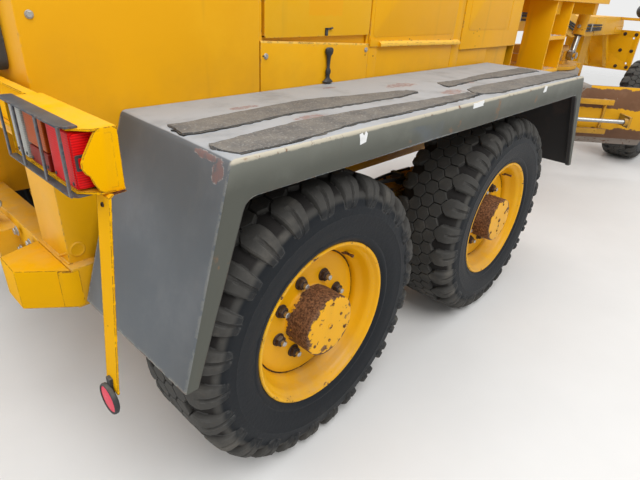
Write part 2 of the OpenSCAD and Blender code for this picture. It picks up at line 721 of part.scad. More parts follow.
// Circle: ring, cradle plate and two arms that hold the moldboard's rails
module turned() { placed() translate([circle_x, 0, 0]) rotate([0, 0, blade_turn]) children(); }
module blade_circle() {
    color("peru") turned() {
        translate([0, 0, ring_z]) difference() {
            cylinder(h = ring_h, r = ring_r, $fn = 96);
            translate([0, 0, -1]) cylinder(h = ring_h + 2, r = ring_r - ring_w, $fn = 96);
        }
        box(-440, -220, -arm_y - 60, arm_y + 60, ring_z - 25, ring_z);
        for (y = [-arm_y, arm_y]) difference() {
            side_plate([[-440, ring_z - 25], [-230, ring_z - 25], [rail_x + 50, rail_z2 + 60],
                [rail_x + 50, rail_z1 - 50], [rail_x - 30, rail_z1 - 80], [-330, rail_z1 - 60],
                [-345, rail_z2 + 60]], y - 25, y + 25);
            for (z = [rail_z1, rail_z2])
                box(rail_x - rail_w / 2 - play, 0, y - 30, y + 30, z - rail_h / 2 - play, z + rail_h / 2 + 1);
            box(rail_x + rail_w / 2 + 12, 0, y - 30, y + 30, 0, ring_z - 30);
        }
    }
}
shift_r = 32;
module shift_barrel() {
    color("gold") turned() {
        difference() {
            bar_y(shift_r, shift_x, shift_z, -arm_y - 20, arm_y + 20);
            bar_y(16 + play, shift_x, shift_z, -arm_y - 30, arm_y - 40);
        }
        for (y = [-arm_y, arm_y]) difference() {
            box(shift_x, -339, y - 20, y + 20, shift_z - 25, shift_z + 25);
            bar_y(shift_r - 4, shift_x, shift_z, y - 30, y + 30);
        }
    }
}
module moldboard_skin(t, r0) {
    translate([edge_x - bow + bow_r, 0, blade_z + blade_h / 2]) rotate([90, 0, 0])
        translate([0, 0, -blade_l / 2]) linear_extrude(blade_l) intersection() {
            difference() {
                circle(r = r0 + t, $fn = 160);
                circle(r = r0, $fn = 160);
            }
            translate([-bow_r - 40, -blade_h / 2 + 60]) square([bow + 60, blade_h - 60]);
        }
}
module moldboard() {
    color("saddlebrown") turned() {
        moldboard_skin(mold_t, bow_r);
        for (z = [rail_z1, rail_z2])
            box(rail_x - rail_w / 2, rail_x + rail_w / 2, -820, 820, z - rail_h / 2, z + rail_h / 2);
        for (y = [-780, -10, 760])
            side_plate([[rail_x + rail_w / 2, rail_z1 - 20], [rail_x + rail_w / 2, rail_z2 + 20],
                [edge_x - 66, rail_z2 + 20], [edge_x - bow - 14, shift_z], [edge_x - 78, rail_z1 - 20]],
                y, y + 20);
        box(shift_x - 30, edge_x - bow - 14, shift_end - 40, shift_end - 20, shift_z - 45, shift_z + 45);
        bar_y(16, shift_x, shift_z, shift_end - 20, 60);
        bar_y(30, shift_x, shift_z, shift_end - 20, shift_end + 10);
    }
}
// How far forward the front of the skin lies at a height above the cutting edge
function skin_x(h) = edge_x - bow + bow_r - sqrt(pow(bow_r, 2) - pow(h - blade_h / 2, 2));
edge_h = 120;
edge_t = 14;
module cutting_edge() {
    slope = (skin_x(edge_h) - skin_x(60)) / (edge_h - 60);
    foot = skin_x(60) - 60 * slope;
    color("dimgray") turned() translate([play, 0, 0])
        side_plate([[foot, blade_z], [skin_x(edge_h), blade_z + edge_h],
            [skin_x(edge_h) + edge_t, blade_z + edge_h], [foot + edge_t, blade_z]],
            -blade_l / 2, blade_l / 2);
}

// Front axle on its rocking pin, with kingpin forks at the ends
module front_axle() {
    color("gold") placed() translate([wheelbase, 0, 0]) difference() {
        union() {
            box(-70, 70, -kingpin_y + 100, kingpin_y - 100, 405, 570);
            bar_x(75, 0, rock_z, -80, 80);
            both() for (z = [385, 545]) {
                translate([0, kingpin_y, z]) cylinder(h = 40, r = 45);
                box(-45, 45, kingpin_y - 100, kingpin_y, z, z + 40);
            }
            both() box(-60, 60, kingpin_y - 110, kingpin_y - 70, 385, 585);
            both() box(-160, -60, 140, 170, 490, 545);
            bar_y(36, -160, 518, -190, 190);
        }
        bar_x(30 + play, 0, rock_z, -90, 90);
        both() translate([0, kingpin_y, 300]) cylinder(h = 400, r = 22 + play);
        bar_y(16 + play, -160, 518, -200, 200);
    }
}
module knuckle(s) {
    color("gold") placed() sided(s) translate([wheelbase, 0, 0]) difference() {
        union() {
            translate([0, kingpin_y, 430]) cylinder(h = 110, r = 48);
            translate([0, kingpin_y, 375]) cylinder(h = 220, r = 22);
            box(-40, 40, kingpin_y, kingpin_y + 60, 435, 535);
            bar_y(78, 0, axle_z, kingpin_y + 50, front_track + hub_in - gap);
            box(-160, -30, kingpin_y - 15, kingpin_y + 15, 470, 500);
            translate([-160, kingpin_y, 470]) cylinder(h = 30, r = 28);
        }
        bar_y(shaft_r + play, 0, axle_z, front_track + shaft_in - 3, front_track);
    }
}
module knuckle_left() { knuckle(1); }
module knuckle_right() { knuckle(-1); }
module steering_rod() {
    color("silver") placed() translate([wheelbase - 160, 0, 518]) {
        bar_y(16, 0, 0, -kingpin_y + 20, kingpin_y - 20);
        both() translate([0, kingpin_y, -14]) cylinder(h = 28, r = 26);
    }
}

rear_frame();
rear_axle();
engine();
hood();
hood_top();
hood_door_left();
hood_door_right();
rear_grille();
lamp_bar();
lamp_guards();
tail_lamps();
reflectors();
exhaust();
fender_brackets();
fender_left();
fender_right();
tandem_left();
tandem_right();
rim_rear_left();
rim_rear_right();
rim_mid_left();
rim_mid_right();
rim_front_left();
rim_front_right();
tyre_rear_left();
tyre_rear_right();
tyre_mid_left();
tyre_mid_right();
tyre_front_left();
tyre_front_right();
gooseneck();
cab_shell();
cab_glass();
cab_door_left();
cab_door_right();
door_glass_left();
door_glass_right();
seat();
controls();
cab_steps();
lights_and_mirrors();
lift_barrel_left();
lift_barrel_right();
lift_rod_left();
lift_rod_right();
drawbar();
blade_circle();
shift_barrel();
moldboard();
cutting_edge();
front_axle();
knuckle_left();
knuckle_right();
steering_rod();
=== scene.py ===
import json
import math
from functools import partial

import bmesh
import bpy
from mathutils import Matrix, Vector, noise

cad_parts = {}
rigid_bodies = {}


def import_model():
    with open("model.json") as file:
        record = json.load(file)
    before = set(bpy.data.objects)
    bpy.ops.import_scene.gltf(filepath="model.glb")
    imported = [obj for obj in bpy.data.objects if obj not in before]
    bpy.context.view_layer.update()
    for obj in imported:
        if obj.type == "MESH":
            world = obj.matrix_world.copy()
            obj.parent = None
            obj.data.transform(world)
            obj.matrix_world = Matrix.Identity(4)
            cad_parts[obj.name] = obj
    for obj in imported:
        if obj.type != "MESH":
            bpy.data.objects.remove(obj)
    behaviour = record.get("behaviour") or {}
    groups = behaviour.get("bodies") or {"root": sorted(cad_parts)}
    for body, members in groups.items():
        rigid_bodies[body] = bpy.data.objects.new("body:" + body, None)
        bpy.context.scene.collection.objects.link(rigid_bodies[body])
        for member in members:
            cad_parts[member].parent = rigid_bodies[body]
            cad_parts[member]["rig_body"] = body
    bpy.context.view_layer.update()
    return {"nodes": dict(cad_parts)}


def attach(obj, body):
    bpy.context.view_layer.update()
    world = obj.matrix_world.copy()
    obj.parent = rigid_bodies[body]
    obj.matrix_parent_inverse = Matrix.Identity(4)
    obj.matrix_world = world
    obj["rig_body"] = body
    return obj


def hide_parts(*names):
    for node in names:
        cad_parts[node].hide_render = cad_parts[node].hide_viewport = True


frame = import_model()
nodes = frame["nodes"]
scene = bpy.context.scene
tau = 2 * math.pi
noise.seed_set(5)  # so that the ragged edges are the same at each run

# Lengths along X below are measured from the middle of the tandem axle, as in the part's source
midX = 2.095
layout = {"tandemX": 0.61, "frontX": 4.5, "axleZ": 0.485, "rearTrack": 0.885, "frontTrack": 0.765}
sides = {"left": 1, "right": -1}


def at(x, y, z):
    return Vector((x - midX, y, z))


# Shader trees. A socket knows its tree, so each node is made near a socket that it builds on
def feed(node, values):
    for key, value in values.items():
        if isinstance(value, bpy.types.NodeSocket):
            node.id_data.links.new(value, node.inputs[key])
        else:
            node.inputs[key].default_value = value


def addNode(near, kind, inputs=None, **settings):
    node = near.id_data.nodes.new(kind)
    for key, value in settings.items():
        setattr(node, key, value)
    feed(node, inputs or {})
    return node


def calc(operation, *values, clamp=False):
    near = next(value for value in values if isinstance(value, bpy.types.NodeSocket))
    return addNode(near, "ShaderNodeMath", dict(enumerate(values)), operation=operation, use_clamp=clamp).outputs[0]


times, plus, minus, larger = (partial(calc, kind) for kind in ("MULTIPLY", "ADD", "SUBTRACT", "MAXIMUM"))


def attribute(near, name):
    return addNode(near, "ShaderNodeAttribute", attribute_name=name).outputs["Fac"]


def vectors(operation, *values):
    near = next(value for value in values if isinstance(value, bpy.types.NodeSocket))
    node = addNode(near, "ShaderNodeVectorMath", dict(enumerate(values)), operation=operation)
    return node.outputs["Value" if operation in ("LENGTH", "DOT_PRODUCT") else "Vector"]


def axesOf(vector):
    return addNode(vector, "ShaderNodeSeparateXYZ", {0: vector}).outputs


def joined(x, y, z):
    return addNode(x, "ShaderNodeCombineXYZ", {0: x, 1: y, 2: z}).outputs[0]


def smooth(value, low, high):
    span = {"Value": value, "From Min": low, "From Max": high}
    return addNode(value, "ShaderNodeMapRange", span, interpolation_type="SMOOTHSTEP").outputs[0]


def cloudAt(place, scale, detail, rough=0.5):
    return addNode(place, "ShaderNodeTexNoise",
                   {"Vector": place, "Scale": scale, "Detail": detail, "Roughness": rough}).outputs[0]


def blendColour(mask, a, b):
    pair = {key: (*value, 1.0) if isinstance(value, tuple) else value for key, value in ((6, a), (7, b))}
    return addNode(mask, "ShaderNodeMix", {0: mask, **pair}, data_type="RGBA").outputs[2]


def bumpNormal(height, strength, distance, under=None):
    below = {"Normal": under} if under else {}
    return addNode(height, "ShaderNodeBump",
                   {"Height": height, "Strength": strength, "Distance": distance, **below}).outputs[0]


# Effects: node groups that turn a place into one value
def edgeWear(place, given):
    rounded = addNode(place, "ShaderNodeBevel", {"Radius": given["Width"]}, samples=4).outputs[0]
    flat = addNode(place, "ShaderNodeNewGeometry").outputs["Normal"]
    edge = smooth(minus(1.0, vectors("DOT_PRODUCT", rounded, flat)), 0.01, 0.12)
    broken = plus(cloudAt(place, given["Breakup"], 4.0), minus(given["Amount"], 1.0))
    return times(edge, smooth(broken, 0.0, 0.08))


def patches(place, given):
    start = minus(0.78, times(given["Cover"], 0.55))
    cloud = cloudAt(place, given["Scale"], 6.0, 0.62)
    return smooth(calc("DIVIDE", minus(cloud, start), given["Soft"]), 0.0, 1.0)


def streaks(place, given):
    stretched = addNode(place, "ShaderNodeMapping", {"Vector": place, "Scale": (1.0, 1.0, 0.09)}).outputs[0]
    start = minus(0.8, times(given["Cover"], 0.5))
    return smooth(minus(cloudAt(stretched, given["Scale"], 5.0), start), 0.0, 0.25)


def grime(place, given):
    span = minus(given["High"], given["Low"])
    share = calc("DIVIDE", minus(given["High"], axesOf(place)[2]), span, clamp=True)
    wet = plus(share, times(minus(cloudAt(place, given["Scale"], 7.0, 0.6), 0.5), 1.6))
    return times(smooth(wet, 0.15, 1.1), share)


def settledDust(place, given):
    lying = smooth(axesOf(addNode(place, "ShaderNodeNewGeometry").outputs["Normal"])[2], 0.45, 0.95)
    return times(times(lying, smooth(cloudAt(place, given["Scale"], 8.0, 0.65), 0.3, 0.7)), given["Amount"])


def grain(place, given):
    return cloudAt(place, given["Scale"], 3.0, given["Rough"])


def effectGroup(build, inputs):
    group = bpy.data.node_groups.new(build.__name__, "ShaderNodeTree")
    group.interface.new_socket(name="Vector", in_out="INPUT", socket_type="NodeSocketVector")
    for label, value in inputs.items():
        group.interface.new_socket(name=label, in_out="INPUT", socket_type="NodeSocketFloat").default_value = value
    group.interface.new_socket(name="Value", in_out="OUTPUT", socket_type="NodeSocketFloat")
    given = group.nodes.new("NodeGroupInput").outputs
    feed(group.nodes.new("NodeGroupOutput"), {"Value": build(given["Vector"], given)})
    return group


effects = {build.__name__: effectGroup(build, inputs) for build, inputs in (
    (edgeWear, {"Width": 0.004, "Breakup": 60.0, "Amount": 0.5}), (patches, {"Scale": 4.0, "Cover": 0.3, "Soft": 0.05}),
    (streaks, {"Scale": 20.0, "Cover": 0.4}), (grime, {"Scale": 5.0, "Low": 0.0, "High": 1.0}),
    (settledDust, {"Scale": 9.0, "Amount": 0.5}), (grain, {"Scale": 400.0, "Rough": 0.5}))}


def effect(name, place, **values):
    return addNode(place, "ShaderNodeGroup", {"Vector": place, **values}, node_tree=effects[name]).outputs[0]


def newMaterial(name, colour):
    material = bpy.data.materials.new(name)
    material.use_nodes = True
    material.diffuse_color = (*colour, 1.0)
    tree = material.node_tree
    return material, tree.nodes["Principled BSDF"], addNode(tree, "ShaderNodeTexCoord").outputs["Object"]


def nearPlace(place, centre, radius):
    # under 1 inside an uneven blot around a place, more outside it
    away = vectors("LENGTH", vectors("DIVIDE", vectors("SUBTRACT", place, centre), radius))
    return plus(away, times(minus(cloudAt(place, 38.0, 6.0, 0.65), 0.5), 2.2))


def paint(name, look):
    material, shader, place = newMaterial(name, look["base"])
    fade = effect("patches", place, Scale=look["fadeScale"], Cover=look["fadeCover"], Soft=0.3)
    colour = blendColour(fade, look["base"], look["faded"])
    streak = effect("streaks", place, Scale=look["streakScale"], Cover=look["streakCover"])
    colour = blendColour(times(streak, look["streakDepth"]), colour, look["dirt"])
    grime = effect("grime", place, Scale=6.0, Low=look["grimeLow"], High=look["grimeHigh"])
    colour = blendColour(times(grime, look["grimeDepth"]), colour, look["dirt"])
    dust = effect("settledDust", place, Scale=11.0, Amount=look["dust"])
    colour = blendColour(dust, colour, (0.36, 0.33, 0.28))
    halo = effect("edgeWear", place, Width=look["edgeWidth"] * 1.8, Breakup=look["breakup"], Amount=look["edge"] + 0.08)
    colour = blendColour(times(halo, 0.55), colour, look["halo"])
    edge = effect("edgeWear", place, Width=look["edgeWidth"], Breakup=look["breakup"], Amount=look["edge"])
    spots = effect("patches", place, Scale=look["chipScale"], Cover=look["chipCover"], Soft=0.02)
    bare = larger(edge, spots)
    mottle = effect("grain", place, Scale=90.0, Rough=0.7)
    rust = blendColour(smooth(mottle, 0.35, 0.65), look["rust"], look["rustDark"])
    colour = blendColour(bare, colour, rust)
    feed(shader, {"Base Color": colour})
    rough = plus(look["rough"], times(effect("grain", place, Scale=14.0), 0.14))
    rough = calc("ADD", rough, times(larger(bare, dust), 0.4), clamp=True)
    feed(shader, {"Roughness": rough, "Specular IOR Level": look["shine"]})
    dents = effect("grain", place, Scale=look["dentScale"])
    normal = bumpNormal(dents, look["dents"], 0.02)
    peel = minus(effect("grain", place, Scale=520.0), times(bare, 1.5))
    feed(shader, {"Normal": bumpNormal(peel, 0.25, 0.0012, normal)})
    return material, shader, place, colour


plainPaint = {"fadeScale": 1.3, "fadeCover": 0.55, "streakScale": 16.0, "streakCover": 0.45, "streakDepth": 0.3,
              "grimeLow": 0.3, "grimeHigh": 1.3, "grimeDepth": 0.5, "dust": 0.3, "edgeWidth": 0.005, "breakup": 55.0,
              "edge": 0.5, "chipScale": 42.0, "chipCover": 0.07, "rough": 0.36, "shine": 0.22, "dentScale": 2.4,
              "dents": 0.25, "rust": (0.17, 0.06, 0.025), "rustDark": (0.05, 0.022, 0.014), "halo": (0.64, 0.41, 0.12),
              "dirt": (0.3, 0.17, 0.035)}
paints = {
    "yellowPaint": {**plainPaint, "base": (0.79, 0.39, 0.0), "faded": (0.86, 0.46, 0.012)},
    "hoodPaint": {**plainPaint, "base": (0.8, 0.38, 0.0), "faded": (0.88, 0.46, 0.008), "edge": 0.4, "chipCover": 0.03,
                  "streakDepth": 0.35, "grimeLow": 0.95, "grimeHigh": 1.45, "grimeDepth": 0.35, "dust": 0.15},
    "workPaint": {**plainPaint, "base": (0.7, 0.34, 0.01), "faded": (0.78, 0.43, 0.05), "edge": 0.62, "chipCover": 0.24,
                  "grimeHigh": 1.5, "grimeDepth": 0.85, "dust": 0.5, "rough": 0.45},
    "barPaint": {**plainPaint, "base": (0.82, 0.41, 0.0), "faded": (0.9, 0.48, 0.0), "edge": 0.62, "chipCover": 0.13,
                 "breakup": 80.0, "edgeWidth": 0.004, "dust": 0.15, "grimeDepth": 0.2, "halo": (0.84, 0.47, 0.004),
                 "shine": 0.03,
                 "rough": 0.58},
    "rimPaint": {**plainPaint, "base": (0.8, 0.39, 0.0), "faded": (0.86, 0.47, 0.012), "edge": 0.42, "chipCover": 0.03,
                 "chipScale": 70.0, "grimeLow": 0.1, "grimeHigh": 0.8, "grimeDepth": 0.35, "streakDepth": 0.2},
    "darkPaint": {**plainPaint, "base": (0.055, 0.062, 0.07), "faded": (0.11, 0.12, 0.135), "dirt": (0.1, 0.08, 0.06),
                  "halo": (0.2, 0.19, 0.18), "edge": 0.5, "chipCover": 0.12, "rough": 0.42, "dust": 0.45},
    "engineIron": {**plainPaint, "base": (0.07, 0.065, 0.06), "faded": (0.12, 0.1, 0.08), "dirt": (0.04, 0.03, 0.02),
                   "halo": (0.14, 0.1, 0.07), "chipCover": 0.3, "rough": 0.6, "dust": 0.5},
    "bladeSteel": {**plainPaint, "base": (0.16, 0.075, 0.035), "faded": (0.26, 0.14, 0.075),
                   "dirt": (0.08, 0.04, 0.022),
                   "halo": (0.35, 0.28, 0.22), "rust": (0.42, 0.38, 0.34), "rustDark": (0.28, 0.22, 0.17), "edge": 0.55,
                   "chipCover": 0.16, "fadeScale": 5.0, "streakDepth": 0.6, "rough": 0.5, "dust": 0.35},
    "wornSteel": {**plainPaint, "base": (0.3, 0.27, 0.24), "faded": (0.4, 0.37, 0.33), "dirt": (0.14, 0.09, 0.06),
                  "halo": (0.45, 0.42, 0.38), "fadeScale": 6.0, "chipCover": 0.3, "rough": 0.42, "dust": 0.4},
}
paints["guardPaint"] = {**paints["darkPaint"], "base": (0.048, 0.056, 0.068), "faded": (0.1, 0.115, 0.135),
                        "dust": 0.12, "rough": 0.33, "chipCover": 0.05}
paints["exhaustHeat"] = {**paints["darkPaint"], "base": (0.1, 0.075, 0.055), "faded": (0.16, 0.11, 0.075),
                         "rough": 0.55, "chipCover": 0.35,
                         "rust": (0.2, 0.085, 0.04)}
paints["lipPaint"] = {**paints["hoodPaint"], "base": (0.88, 0.52, 0.06), "faded": (0.92, 0.62, 0.16), "edge": 0.5,
                      "streakDepth": 0.1,
                      "dirt": (0.45, 0.22, 0.06)}
materials = {}
for paintName, look in paints.items():
    materials[paintName] = paint(paintName, look)[0]


# The doors, with a brighter field where a sticker kept the paint fresh
freshField = {"x": -0.182, "halfX": 0.088, "z": 1.44, "halfZ": 0.09}


def doorPaint():
    material, shader, place, colour = paint("doorPaint", {**paints["hoodPaint"], "base": (0.82, 0.41, 0.0),
        "faded": (0.86, 0.48, 0.03)})
    axes = axesOf(place)
    cloud = effect("grain", place, Scale=45.0, Rough=0.6)
    away = 0.0
    for value, middle, half in ((axes[0], freshField["x"] - midX, freshField["halfX"]),
                                (axes[2], freshField["z"], freshField["halfZ"])):
        away = larger(away, calc("DIVIDE", calc("ABSOLUTE", minus(value, middle)), half))
    away = plus(away, times(minus(cloud, 0.5), 0.25))
    fresh = smooth(away, 1.02, 0.93)
    colour = blendColour(times(fresh, 0.85), colour, (0.86, 0.39, 0.0))
    feed(shader, {"Base Color": colour})
    return material


# The blade's back keeps some of its paint, in a band along the shift cylinder and on the top edge
bladeBand = {"low": 0.47, "high": 0.645, "top": 0.797, "paint": (0.74, 0.37, 0.004), "cover": 0.9}


def bladePaint():
    look = bladeBand
    material, shader, place, colour = paint("bladePaint", paints["bladeSteel"])
    uneven = times(minus(effect("grain", place, Scale=9.0, Rough=0.7), 0.5), 0.09)
    height = plus(axesOf(place)[2], uneven)
    band = times(smooth(height, look["low"] - 0.004, look["low"] + 0.004),
                 smooth(height, look["high"] + 0.004, look["high"] - 0.004))
    band = larger(band, smooth(height, look["top"] - 0.004, look["top"] + 0.004))
    feed(shader, {"Base Color": blendColour(times(band, look["cover"]), colour, look["paint"])})
    return material


# Scuffed grey of the fenders: paler worn top, primer showing through, a skirt darkened with painted shade, and a cream
# worn lip
fenderLook = {**plainPaint, "base": (0.1, 0.115, 0.13), "faded": (0.135, 0.15, 0.168), "dirt": (0.17, 0.165, 0.155),
              "halo": (0.55, 0.54, 0.44), "edge": 0.52, "edgeWidth": 0.007, "chipCover": 0.035, "fadeScale": 3.0,
              "fadeCover": 0.6, "grimeLow": 0.55, "grimeHigh": 0.9, "grimeDepth": 0.3, "dust": 0.0, "rough": 0.5,
              "rust": (0.2, 0.09, 0.045), "rustDark": (0.09, 0.045, 0.03), "dents": 0.4,
              "top": (0.355, 0.385, 0.42), "scuffed": (0.24, 0.26, 0.28), "sand": (0.43, 0.44, 0.42),
              # the skirt's two greys are painted shade: the fender's grey made darker than on the top, most of all low
              # down
              "skirt": (0.085, 0.088, 0.074),
              "skirtUpperShade": (0.16, 0.165, 0.142), "skirtStain": (0.115, 0.082, 0.055), "lipCream": (0.47, 0.43, 0.34),
              "primer": (0.23, 0.135, 0.125), "bare": (0.62, 0.61, 0.6), "skirtY": 1.0765, "topZ": 1.1175,
              # near black for the faces turned towards the wheels: painted shade with road dirt
              "middle": (-0.3, 0.85, 0.7), "inside": (0.024, 0.021, 0.02), "insideRust": (0.085, 0.042, 0.028),
              # where the paint has come off: place and size
              "worn": [((-0.68, 0.715, 1.12), (0.055, 0.016, 0.02)), ((-0.6, 0.905, 1.12), (0.055, 0.018, 0.02)),
                       ((0.07, 0.74, 1.12), (0.09, 0.03, 0.02)), ((0.13, 0.93, 1.12), (0.07, 0.03, 0.02)),
                       ((-1.004, 0.985, 1.108), (0.02, 0.055, 0.008)), ((-1.01, 1.038, 1.086), (0.02, 0.02, 0.02)),
                       ((-0.22, 0.63, 1.12), (0.03, 0.012, 0.02)), ((0.4, 0.85, 1.12), (0.05, 0.02, 0.02))]}


def fenderPaint():
    look = fenderLook
    material, shader, place, colour = paint("fenderPaint", look)
    axes = axesOf(place)
    outward = calc("ABSOLUTE", axes[1])
    folded = joined(axes[0], outward, axes[2])
    onTop = smooth(axes[2], look["topZ"] - 0.002, look["topZ"])
    worn = effect("patches", place, Scale=7.0, Cover=0.62, Soft=0.35)
    topColour = blendColour(worn, look["top"], look["scuffed"])
    gritty = effect("patches", place, Scale=23.0, Cover=0.3, Soft=0.2)
    topColour = blendColour(times(gritty, 0.6), topColour, look["sand"])
    colour = blendColour(times(onTop, 0.95), colour, topColour)
    # the skirt is painted darker as painted shade, darkest low down and lighter near its top, with stains and rust over
    # it
    onSkirt = smooth(outward, look["skirtY"] - 0.001, look["skirtY"])
    greenish = effect("patches", place, Scale=6.0, Cover=0.6, Soft=0.4)
    high = plus(axes[2], times(minus(greenish, 0.5), 0.03))
    skirtColour = blendColour(smooth(high, look["topZ"] - 0.085, look["topZ"] - 0.012), look["skirt"],
                              look["skirtUpperShade"])
    stained = effect("streaks", place, Scale=26.0, Cover=0.35)
    skirtColour = blendColour(times(stained, 0.45), skirtColour, look["skirtStain"])
    colour = blendColour(onSkirt, colour, skirtColour)
    nearest = None
    for centre, size in look["worn"]:
        away = nearPlace(folded, at(*centre)[:], size)
        nearest = away if nearest is None else calc("MINIMUM", nearest, away)
    rim = smooth(calc("ABSOLUTE", minus(nearest, 1.0)), 0.13, 0.04)
    inside = smooth(nearest, 1.05, 0.9)
    blotchy = effect("grain", place, Scale=60.0, Rough=0.7)
    inside = times(inside, smooth(blotchy, 0.3, 0.55))
    colour = blendColour(times(inside, 0.7), colour, look["primer"])
    colour = blendColour(times(rim, times(smooth(blotchy, 0.45, 0.6), 0.3)), colour, look["bare"])
    # the lip between top and skirt is worn to a pale band with rust under it
    lip = times(smooth(axes[2], look["topZ"] - 0.011, look["topZ"] - 0.003),
                smooth(outward, look["skirtY"] - 0.008, look["skirtY"] - 0.002))
    ragged = effect("grain", place, Scale=34.0, Rough=0.75)
    cream = times(lip, smooth(plus(ragged, times(lip, 0.3)), 0.5, 0.72))
    colour = blendColour(cream, colour, look["lipCream"])
    colour = blendColour(times(lip, smooth(ragged, 0.4, 0.3)), colour, look["rust"])
    rusty = times(effect("patches", place, Scale=11.0, Cover=0.3, Soft=0.1), onSkirt)
    colour = blendColour(times(rusty, 0.75), colour, (0.24, 0.12, 0.055))
    # faces turned towards the wheels are painted near black, painted shade with road dirt, and rust in patches
    centre = (look["middle"][0] - midX, look["middle"][1], look["middle"][2])
    side = axesOf(addNode(place, "ShaderNodeTexCoord").outputs["Normal"])
    mirrored = times(side[1], calc("SIGN", axes[1]))
    facingOut = joined(side[0], mirrored, side[2])
    inwards = vectors("SUBTRACT", centre, folded)
    hidden = vectors("DOT_PRODUCT", facingOut, inwards)
    shadeAndDirt = blendColour(effect("patches", place, Scale=5.0, Cover=0.45, Soft=0.3), look["inside"], look["insideRust"])
    colour = blendColour(times(smooth(hidden, 0.02, 0.05), 0.92), colour, shadeAndDirt)
    feed(shader, {"Base Color": colour})
    return material


# groove is a darker rubber for the sunk floors between the blocks: painted shade
rubberLook = {"tread": (0.058, 0.056, 0.052), "dusty": (0.125, 0.115, 0.1), "groove": (0.022, 0.02, 0.019),
              "wall": (0.006, 0.008, 0.011), "wallDust": (0.017, 0.019, 0.022), "scuff": (0.115, 0.115, 0.112)}


def tyreRubber():
    look = rubberLook
    material, shader, place = newMaterial("tyreRubber", look["tread"])
    zone = attribute(place, "tread")
    depth = attribute(place, "depth")
    dusty = effect("patches", place, Scale=9.0, Cover=0.55, Soft=0.35)
    tread = blendColour(dusty, look["tread"], look["dusty"])
    # darker rubber in the grooves and sunk floors, as painted shade
    tread = blendColour(smooth(depth, 0.2, 1.0), tread, look["groove"])
    clouded = effect("patches", place, Scale=4.0, Cover=0.5, Soft=0.5)
    wall = blendColour(times(clouded, 0.5), look["wall"], look["wallDust"])
    rubbed = effect("patches", place, Scale=30.0, Cover=0.16, Soft=0.2)
    wall = blendColour(times(rubbed, 0.45), wall, look["wallDust"])
    uneven = plus(zone, times(minus(clouded, 0.5), 0.3))
    colour = blendColour(smooth(uneven, 0.25, 0.75), wall, tread)
    scuff = effect("streaks", place, Scale=34.0, Cover=0.34)
    raised = times(zone, smooth(depth, 0.5, 0.0))
    colour = blendColour(times(times(scuff, raised), 0.55), colour, look["scuff"])
    rubbedEdge = effect("edgeWear", place, Width=0.006, Breakup=40.0, Amount=0.55)
    colour = blendColour(times(rubbedEdge, 0.45), colour, look["scuff"])
    low = effect("grime", place, Scale=9.0, Low=-0.05, High=0.2)
    colour = blendColour(times(low, 0.6), colour, look["dusty"])
    feed(shader, {"Base Color": colour})
    rough = plus(0.52, times(zone, 0.3))
    feed(shader, {"Roughness": rough, "Specular IOR Level": 0.2})
    coarse = bumpNormal(effect("grain", place, Scale=70.0, Rough=0.6), 0.35, 0.003)
    feed(shader, {"Normal": bumpNormal(effect("grain", place, Scale=600.0), 0.3, 0.001, coarse)})
    return material


def wheelPaint():
    # wheel paint with an attribute that says how far rust has taken over
    material, shader, place, colour = paint("wheelPaint", paints["rimPaint"])
    share = attribute(place, "rust")
    cloud = effect("grain", place, Scale=26.0, Rough=0.72)
    taken = smooth(plus(cloud, minus(share, 1.07)), -0.04, 0.04)
    fine = effect("grain", place, Scale=120.0, Rough=0.7)
    rust = blendColour(smooth(fine, 0.35, 0.7), (0.06, 0.028, 0.016), (0.24, 0.12, 0.06))
    scratches = effect("patches", place, Scale=150.0, Cover=0.22, Soft=0.1)
    rust = blendColour(times(scratches, 0.55), rust, (0.33, 0.22, 0.15))
    colour = blendColour(taken, colour, rust)
    feed(shader, {"Base Color": colour})
    rough = plus(0.38, times(taken, 0.32))
    feed(shader, {"Roughness": rough})
    height = minus(times(fine, 0.4), times(taken, 0.6))
    feed(shader, {"Normal": bumpNormal(height, 0.5, 0.0015)})
    return material


for build in (doorPaint, bladePaint, fenderPaint, tyreRubber, wheelPaint):
    materials[build.__name__] = build()

# Plain finishes: colour, second colour, scale of the change between them, roughness, metallic, bump scale and depth
finishes = {
    "nutRust": ((0.035, 0.018, 0.012), (0.13, 0.06, 0.03), 120.0, 0.7, 0.2, 300.0, 0.002),
    "studSteel": ((0.45, 0.44, 0.42), (0.2, 0.17, 0.14), 150.0, 0.35, 0.9, 500.0, 0.0005),
    "chromeRod": ((0.36, 0.36, 0.35), (0.22, 0.21, 0.19), 60.0, 0.34, 1.0, 900.0, 0.0004),
    "blackRubber": ((0.018, 0.018, 0.019), (0.055, 0.052, 0.048), 40.0, 0.62, 0.0, 350.0, 0.0015),
    "darkPlastic": ((0.03, 0.031, 0.033), (0.07, 0.069, 0.066), 24.0, 0.5, 0.0, 700.0, 0.0006),
    "gripTape": ((0.1, 0.1, 0.1), (0.36, 0.36, 0.35), 150.0, 0.9, 0.0, 260.0, 0.006),
    # black under the grip strips' lifted edges: painted shadow
    "tornEdge": ((0.012, 0.012, 0.012), (0.04, 0.038, 0.035), 60.0, 0.9, 0.0, 380.0, 0.003),
    "stickerWhite": ((0.78, 0.79, 0.79), (0.62, 0.62, 0.6), 35.0, 0.35, 0.0, 200.0, 0.0006),
    "zincBolt": ((0.42, 0.41, 0.38), (0.2, 0.14, 0.09), 90.0, 0.42, 0.7, 400.0, 0.0008),
    "floorMat": ((0.03, 0.03, 0.03), (0.08, 0.075, 0.07), 12.0, 0.85, 0.0, 250.0, 0.003),
    "headLining": ((0.42, 0.4, 0.37), (0.35, 0.33, 0.3), 18.0, 0.9, 0.0, 300.0, 0.002),
    "mirrorGlass": ((0.75, 0.78, 0.8), (0.68, 0.7, 0.72), 10.0, 0.05, 1.0, 50.0, 0.00005),
    "lampBowl": ((0.8, 0.8, 0.8), (0.7, 0.7, 0.7), 20.0, 0.12, 1.0, 90.0, 0.0006),
    "innerDark": ((0.012, 0.011, 0.01), (0.03, 0.026, 0.02), 20.0, 0.8, 0.0, 100.0, 0.002),
}


